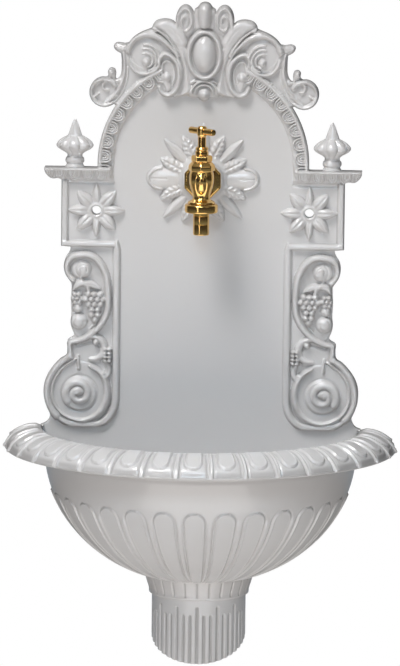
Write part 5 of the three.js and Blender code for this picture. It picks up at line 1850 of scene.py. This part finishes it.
@dataclass
class Tap:
    """The brass tap about its upright axis: turned and flat-sided pieces, each replacing its frame node."""

    brass: bpy.types.Material
    reach: float = 65
    tap_z: float = 40
    wall_nut_across: float = 43.6
    bar_length: float = 42
    bar_diameter: float = 8
    bar_turn: float = -47
    bar_z: float = 103.5

    def place(self, node: str, points: Array, faces: Faces, body: str, sharp: float) -> bpy.types.Object:
        """Puts a piece made about the Z axis on the tap's axis and ties it to its body."""
        return self.tie(node, points - (0, self.reach, 0), faces, body, sharp)

    def tie(self, node: str, points: Array, faces: Faces, body: str, sharp: float) -> bpy.types.Object:
        """Makes a piece and ties it to its body.

        Args:
            node: The frame's node that it replaces.
            points: Its vertices in place, in millimetres.
            faces: Its faces.
            body: The body that it rides on.
            sharp: Degrees beyond which its edges stay sharp.

        Returns:
            The piece.
        """
        piece = mesh_piece(f"{node}_brass", points, faces, self.brass)
        tidy(piece, sharp)
        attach(piece, body)
        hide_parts(node)
        return piece

    def turned_part(self, part: TurnedPart) -> bpy.types.Object:
        """Builds one of the turned pieces.

        Args:
            part: Its sizes.

        Returns:
            The piece.
        """
        swell = self.flats(part.flats, part.turn) if part.flats else None
        points, faces = turned(part.profile(), part.sides, swell)
        return self.place(part.node, points, faces, part.body, part.sharp)

    @staticmethod
    def flats(sides: int, turn: float = 0) -> Swell:
        """A swell that flattens a round section to a number of flats.

        Args:
            sides: How many flats.
            turn: Radians that they are turned.

        Returns:
            A factor on the radius, for turned.
        """
        pitch = 2 * math.pi / sides
        corner = 1 / math.cos(pitch / 2) * 0.985

        def swell(angle: Array, _: Array) -> Array:
            """Apothem over the cosine of the angle from the nearest flat's middle, with blunt corners."""
            return np.minimum(1 / np.cos((angle + turn + pitch / 2) % pitch - pitch / 2), corner)

        return swell

    def build(self) -> list[bpy.types.Object]:
        """Builds every tap piece.

        Returns:
            The pieces.
        """
        pieces = [self.body(), self.wall_nut()]
        pieces += [self.turned_part(part) for part in (BONNET, PACKING_NUT, SPINDLE)]
        pieces.append(self.handle())
        return pieces + [self.turned_part(part) for part in (UNION_NUT, OUTLET)]

    def body(self) -> bpy.types.Object:
        """The barrel, its faceted head, the foot and the shank to the wall.

        Returns:
            The piece.
        """
        barrel = bevelled([
            (6.5, 17, 0), (16.4, 17, 0.6), (16.4, 19, 0.8), (13.4, 20.6, 1), (10.6, 22.4, 1.4),
            (10.2, 25.6, 1.4), (11.6, 31, 3), (14, 38, 4), (14.9, 44, 3), (14.7, 51, 2), (13.6, 55.6, 0.6),
            (14.9, 57.2, 0.8), (15, 62.6, 1.4), (11.6, 66.9, 0.6), (5.4, 66.9, 0),
        ])
        profile = np.vstack([barrel, [(5.4, 58), (6.5, 34), (6.5, 17)]])
        on_head = smooth_step(55.8, 56.6, profile[:, 1:])
        swell = self.flats(8, math.pi / 8)

        def head(angle: Array, share: Array) -> Array:
            """Eight flats on the head alone."""
            return 1 + on_head * (swell(angle, share) - 1) * 0.9

        points, faces = turned(profile, 96, head)
        x, y, z = points.T
        facing, panel_z = np.clip(-y / 12, 0, 1), z - 41
        front = facing * np.exp(-((x / 6.2) ** 2)) * np.exp(-((panel_z / 11.5) ** 4))
        groove = np.exp(-(((np.hypot(x / 6.0, panel_z / 13) - 1) / 0.16) ** 2)) * facing
        on_barrel = (z > 24) & (z < 55) & (np.hypot(x, y) > 8)
        points[:, 1] -= np.where(on_barrel, 1.9 * front - 1.0 * groove, 0)
        sides, radius, bore, near, far = 48, 10.5, 7, 0.2, self.reach - 6
        across = 2 * math.pi * np.arange(sides) / sides
        shank = np.array([(radius, near), (radius, far), (bore, far), (bore, near), (radius, near)])
        depth = np.broadcast_to(-shank[:, 1:], (len(shank), sides)) + self.reach
        ring = np.stack([shank[:, :1] * np.cos(across), depth, self.tap_z + shank[:, :1] * np.sin(across)],
                        -1)
        ring = ring.reshape(-1, 3)
        every_face = faces + grid_faces(len(shank), sides, len(points), closed=True)
        return self.place("tap_body", np.vstack([points, ring]), every_face, BODY, SHARP_TURNED)

    def wall_nut(self) -> bpy.types.Object:
        """The octagonal nut against the boss, with its corners turned off.

        Returns:
            The piece.
        """
        half = self.wall_nut_across / 2
        profile = bevelled([(10.8, 24.3, 0), (half - 1, 24.3, 0.4), (half, 25.4, 0.4), (half, 31.6, 0.5),
                            (half - 2.2, 33.3, 0.5),
                            (10.8, 33.3, 0)])
        profile = np.vstack([profile, profile[:1]])
        points, faces = turned(profile, 96, self.flats(8))
        placed = np.column_stack([points[:, 0], -points[:, 2], self.tap_z + points[:, 1]])
        return self.tie("tap_wall_nut", placed, faces, BODY, SHARP_NUT)

    def handle(self) -> bpy.types.Object:
        """The hub with its cap, and the T-bar through it.

        Returns:
            The piece.
        """
        hub = bevelled([(0, 97, 0), (5, 97, 0.5), (6.2, 99.4, 1), (6.3, 107, 1), (4.6, 109.4, 0.8),
                        (1.8, 110, 0.4), (0, 110, 0)])
        points, faces = turned(hub, 48)
        half, radius = self.bar_length / 2, self.bar_diameter / 2
        bar = bevelled([(0, -half, 0), (radius - 0.4, -half, 0.3), (radius, -half + 1.2, 0.4),
                        (radius, half - 1.2, 0.4),
                        (radius - 0.4, half, 0.3), (0, half, 0)])
        bar_points, bar_faces = turned(bar, 32)
        turn = math.radians(self.bar_turn)
        along = bar_points[:, 2]
        placed = np.column_stack([
            along * math.cos(turn) - bar_points[:, 0] * math.sin(turn),
            along * math.sin(turn) + bar_points[:, 0] * math.cos(turn),
            self.bar_z + bar_points[:, 1],
        ])
        both, every_face = joined([(points, faces), (placed, bar_faces)])
        return self.place("tap_handle", both, every_face, HANDLE_BODY, SHARP_TURNED)


@dataclass(frozen=True)
class Studio:
    """A plain pale floor, soft lights and the photograph's camera."""

    distance: float = 7.0
    azimuth: float = 2.0
    elevation: float = 8.4
    roll: float = 0.65
    target: tuple[float, float, float] = (0.0, -0.06, -0.1400)
    lens: float = 316.0
    floor_z: float = -1.9
    floor_half: float = 2.2
    surround: float = 0.32

    def build(self) -> None:
        """Adds the camera, the floor, the lights and the world."""
        self.camera()
        self.floor()
        warm, cool = (1.0, 0.965, 0.945), (0.68, 0.85, 1.0)
        self.light("key", (-1.6, -2.2, 4.0), (1.4, 1.4), 132, (1.0, 0.985, 0.975))
        self.light("fill", (2.2, -2.4, 1.0), (1.6, 1.6), 3, warm)
        self.light("strip", (-1.3, -3.2, 0.3), (0.22, 1.8), 6, warm)
        self.light("low_front", (0.0, -1.4, -1.7), (2.8, 2.4), 36, warm, aim=(0, -0.1, -0.4))
        pale = (0.96, 0.97, 1.0)
        self.light("rim_top", (-0.4, -1.0, 2.1), (0.6, 0.6), 0.8, pale, aim=(0, -0.2, -0.27), spread=40)
        self.light("cool_field", (0.0, -1.7, 0.7), (0.5, 0.5), 0.36, cool, aim=(0, 0, -0.24), spread=36)
        self.world()

    def camera(self) -> None:
        """Looks at the target from the photograph's side, with its small roll."""
        a, e = math.radians(self.azimuth), math.radians(self.elevation)
        back = Vector((math.sin(a) * math.cos(e), -math.cos(a) * math.cos(e), math.sin(e)))
        data = bpy.data.cameras.new("camera")
        data.lens = self.lens
        data.sensor_width = 36
        camera = bpy.data.objects.new("camera", data)
        turn = (-back).to_track_quat("-Z", "Y").to_matrix().to_4x4()
        roll = Matrix.Rotation(math.radians(self.roll), 4, "Z")
        camera.matrix_world = Matrix.Translation(Vector(self.target) + back * self.distance) @ turn @ roll
        bpy.context.scene.collection.objects.link(camera)
        bpy.context.scene.camera = camera

    def floor(self) -> None:
        """A plain pale floor well below the fountain."""
        mesh = bpy.data.meshes.new("floor")
        half, z = self.floor_half, self.floor_z
        corners = [(-half, -half, z), (half, -half, z), (half, half, z), (-half, half, z)]
        mesh.from_pydata(corners, [], [(0, 1, 2, 3)])
        floor = bpy.data.objects.new("floor", mesh)
        material, shader = new_material("pale_floor")
        shader.inputs["Base Color"].default_value = (0.8, 0.8, 0.8, 1)
        shader.inputs["Roughness"].default_value = 0.7
        mesh.materials.append(material)
        bpy.context.scene.collection.objects.link(floor)

    def light(
        self,
        name: str,
        place: tuple[float, float, float],
        size: tuple[float, float],
        power: float,
        colour: tuple[float, float, float],
        aim: tuple[float, float, float] | None = None,
        spread: float = 180,
    ) -> None:
        """A soft oblong light aimed at the fountain.

        Args:
            name: Its name.
            place: Where it stands.
            size: Its width and height.
            power: Its power in watts.
            colour: Its colour.
            aim: The place that it points at, or the camera's target.
            spread: Degrees that its beam opens.
        """
        data = bpy.data.lights.new(name, "AREA")
        data.shape = "RECTANGLE"
        data.size, data.size_y = size
        data.energy = power
        data.color = colour
        data.spread = math.radians(spread)
        light = bpy.data.objects.new(name, data)
        way = Vector(aim or self.target) - Vector(place)
        light.matrix_world = Matrix.Translation(place) @ way.to_track_quat("-Z", "Y").to_matrix().to_4x4()
        bpy.context.scene.collection.objects.link(light)

    def world(self) -> None:
        """Soft light from all round, with a pure white surround to look at."""
        world = bpy.data.worlds.new("surround")
        world.use_nodes = True
        nodes, links = world.node_tree.nodes, world.node_tree.links
        lit = nodes["Background"]
        lit.inputs["Strength"].default_value = self.surround
        way = nodes.new("ShaderNodeTexCoord")
        parts = nodes.new("ShaderNodeSeparateXYZ")
        links.new(way.outputs["Generated"], parts.inputs[0])
        height = nodes.new("ShaderNodeMapRange")
        height.inputs["From Min"].default_value = -1
        links.new(parts.outputs["Z"], height.inputs["Value"])
        room = nodes.new("ShaderNodeValToRGB")
        stops = (
            (0.0, (0.6, 0.58, 0.57)), (0.34, (0.5, 0.49, 0.48)), (0.4, (0.8, 0.95, 1.1)),
            (0.44, (0.16, 0.15, 0.15)),
            (0.54, (0.12, 0.11, 0.11)), (0.64, (0.35, 0.34, 0.33)), (0.8, (0.6, 0.6, 0.6)),
        )
        ramp = room.color_ramp
        while len(ramp.elements) < len(stops):
            ramp.elements.new(0.5)
        for element, (place, value) in zip(ramp.elements, stops):
            element.position = place
            element.color = (*value, 1)
        links.new(height.outputs[0], room.inputs[0])
        links.new(room.outputs[0], lit.inputs["Color"])
        seen = nodes.new("ShaderNodeBackground")
        seen.inputs["Strength"].default_value = 1.0
        seen.inputs["Color"].default_value = (1, 1, 1, 1)
        path = nodes.new("ShaderNodeLightPath")
        mix = nodes.new("ShaderNodeMixShader")
        links.new(path.outputs["Is Camera Ray"], mix.inputs[0])
        links.new(lit.outputs[0], mix.inputs[1])
        links.new(seen.outputs[0], mix.inputs[2])
        links.new(mix.outputs[0], nodes["World Output"].inputs[0])
        bpy.context.scene.world = world
        bpy.context.scene.view_settings.view_transform = "Standard"


def main() -> None:
    """Builds the fountain over its frame and reports each piece."""
    logging.basicConfig(level=logging.INFO, format="%(name)s: %(message)s")
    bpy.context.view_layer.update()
    enamel = Enamel().material()
    brass = Brass().material()
    pieces = [BackPlate().build(enamel), Basin().build(enamel), DrainCover().build(enamel)]
    pieces += Tap(brass).build()
    for piece in pieces:
        triangles = sum(len(face.vertices) - 2 for face in piece.data.polygons)
        log.info("%s: %d triangles", piece.name, triangles)
    Studio().build()
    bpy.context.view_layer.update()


if __name__ == "__main__":
    main()
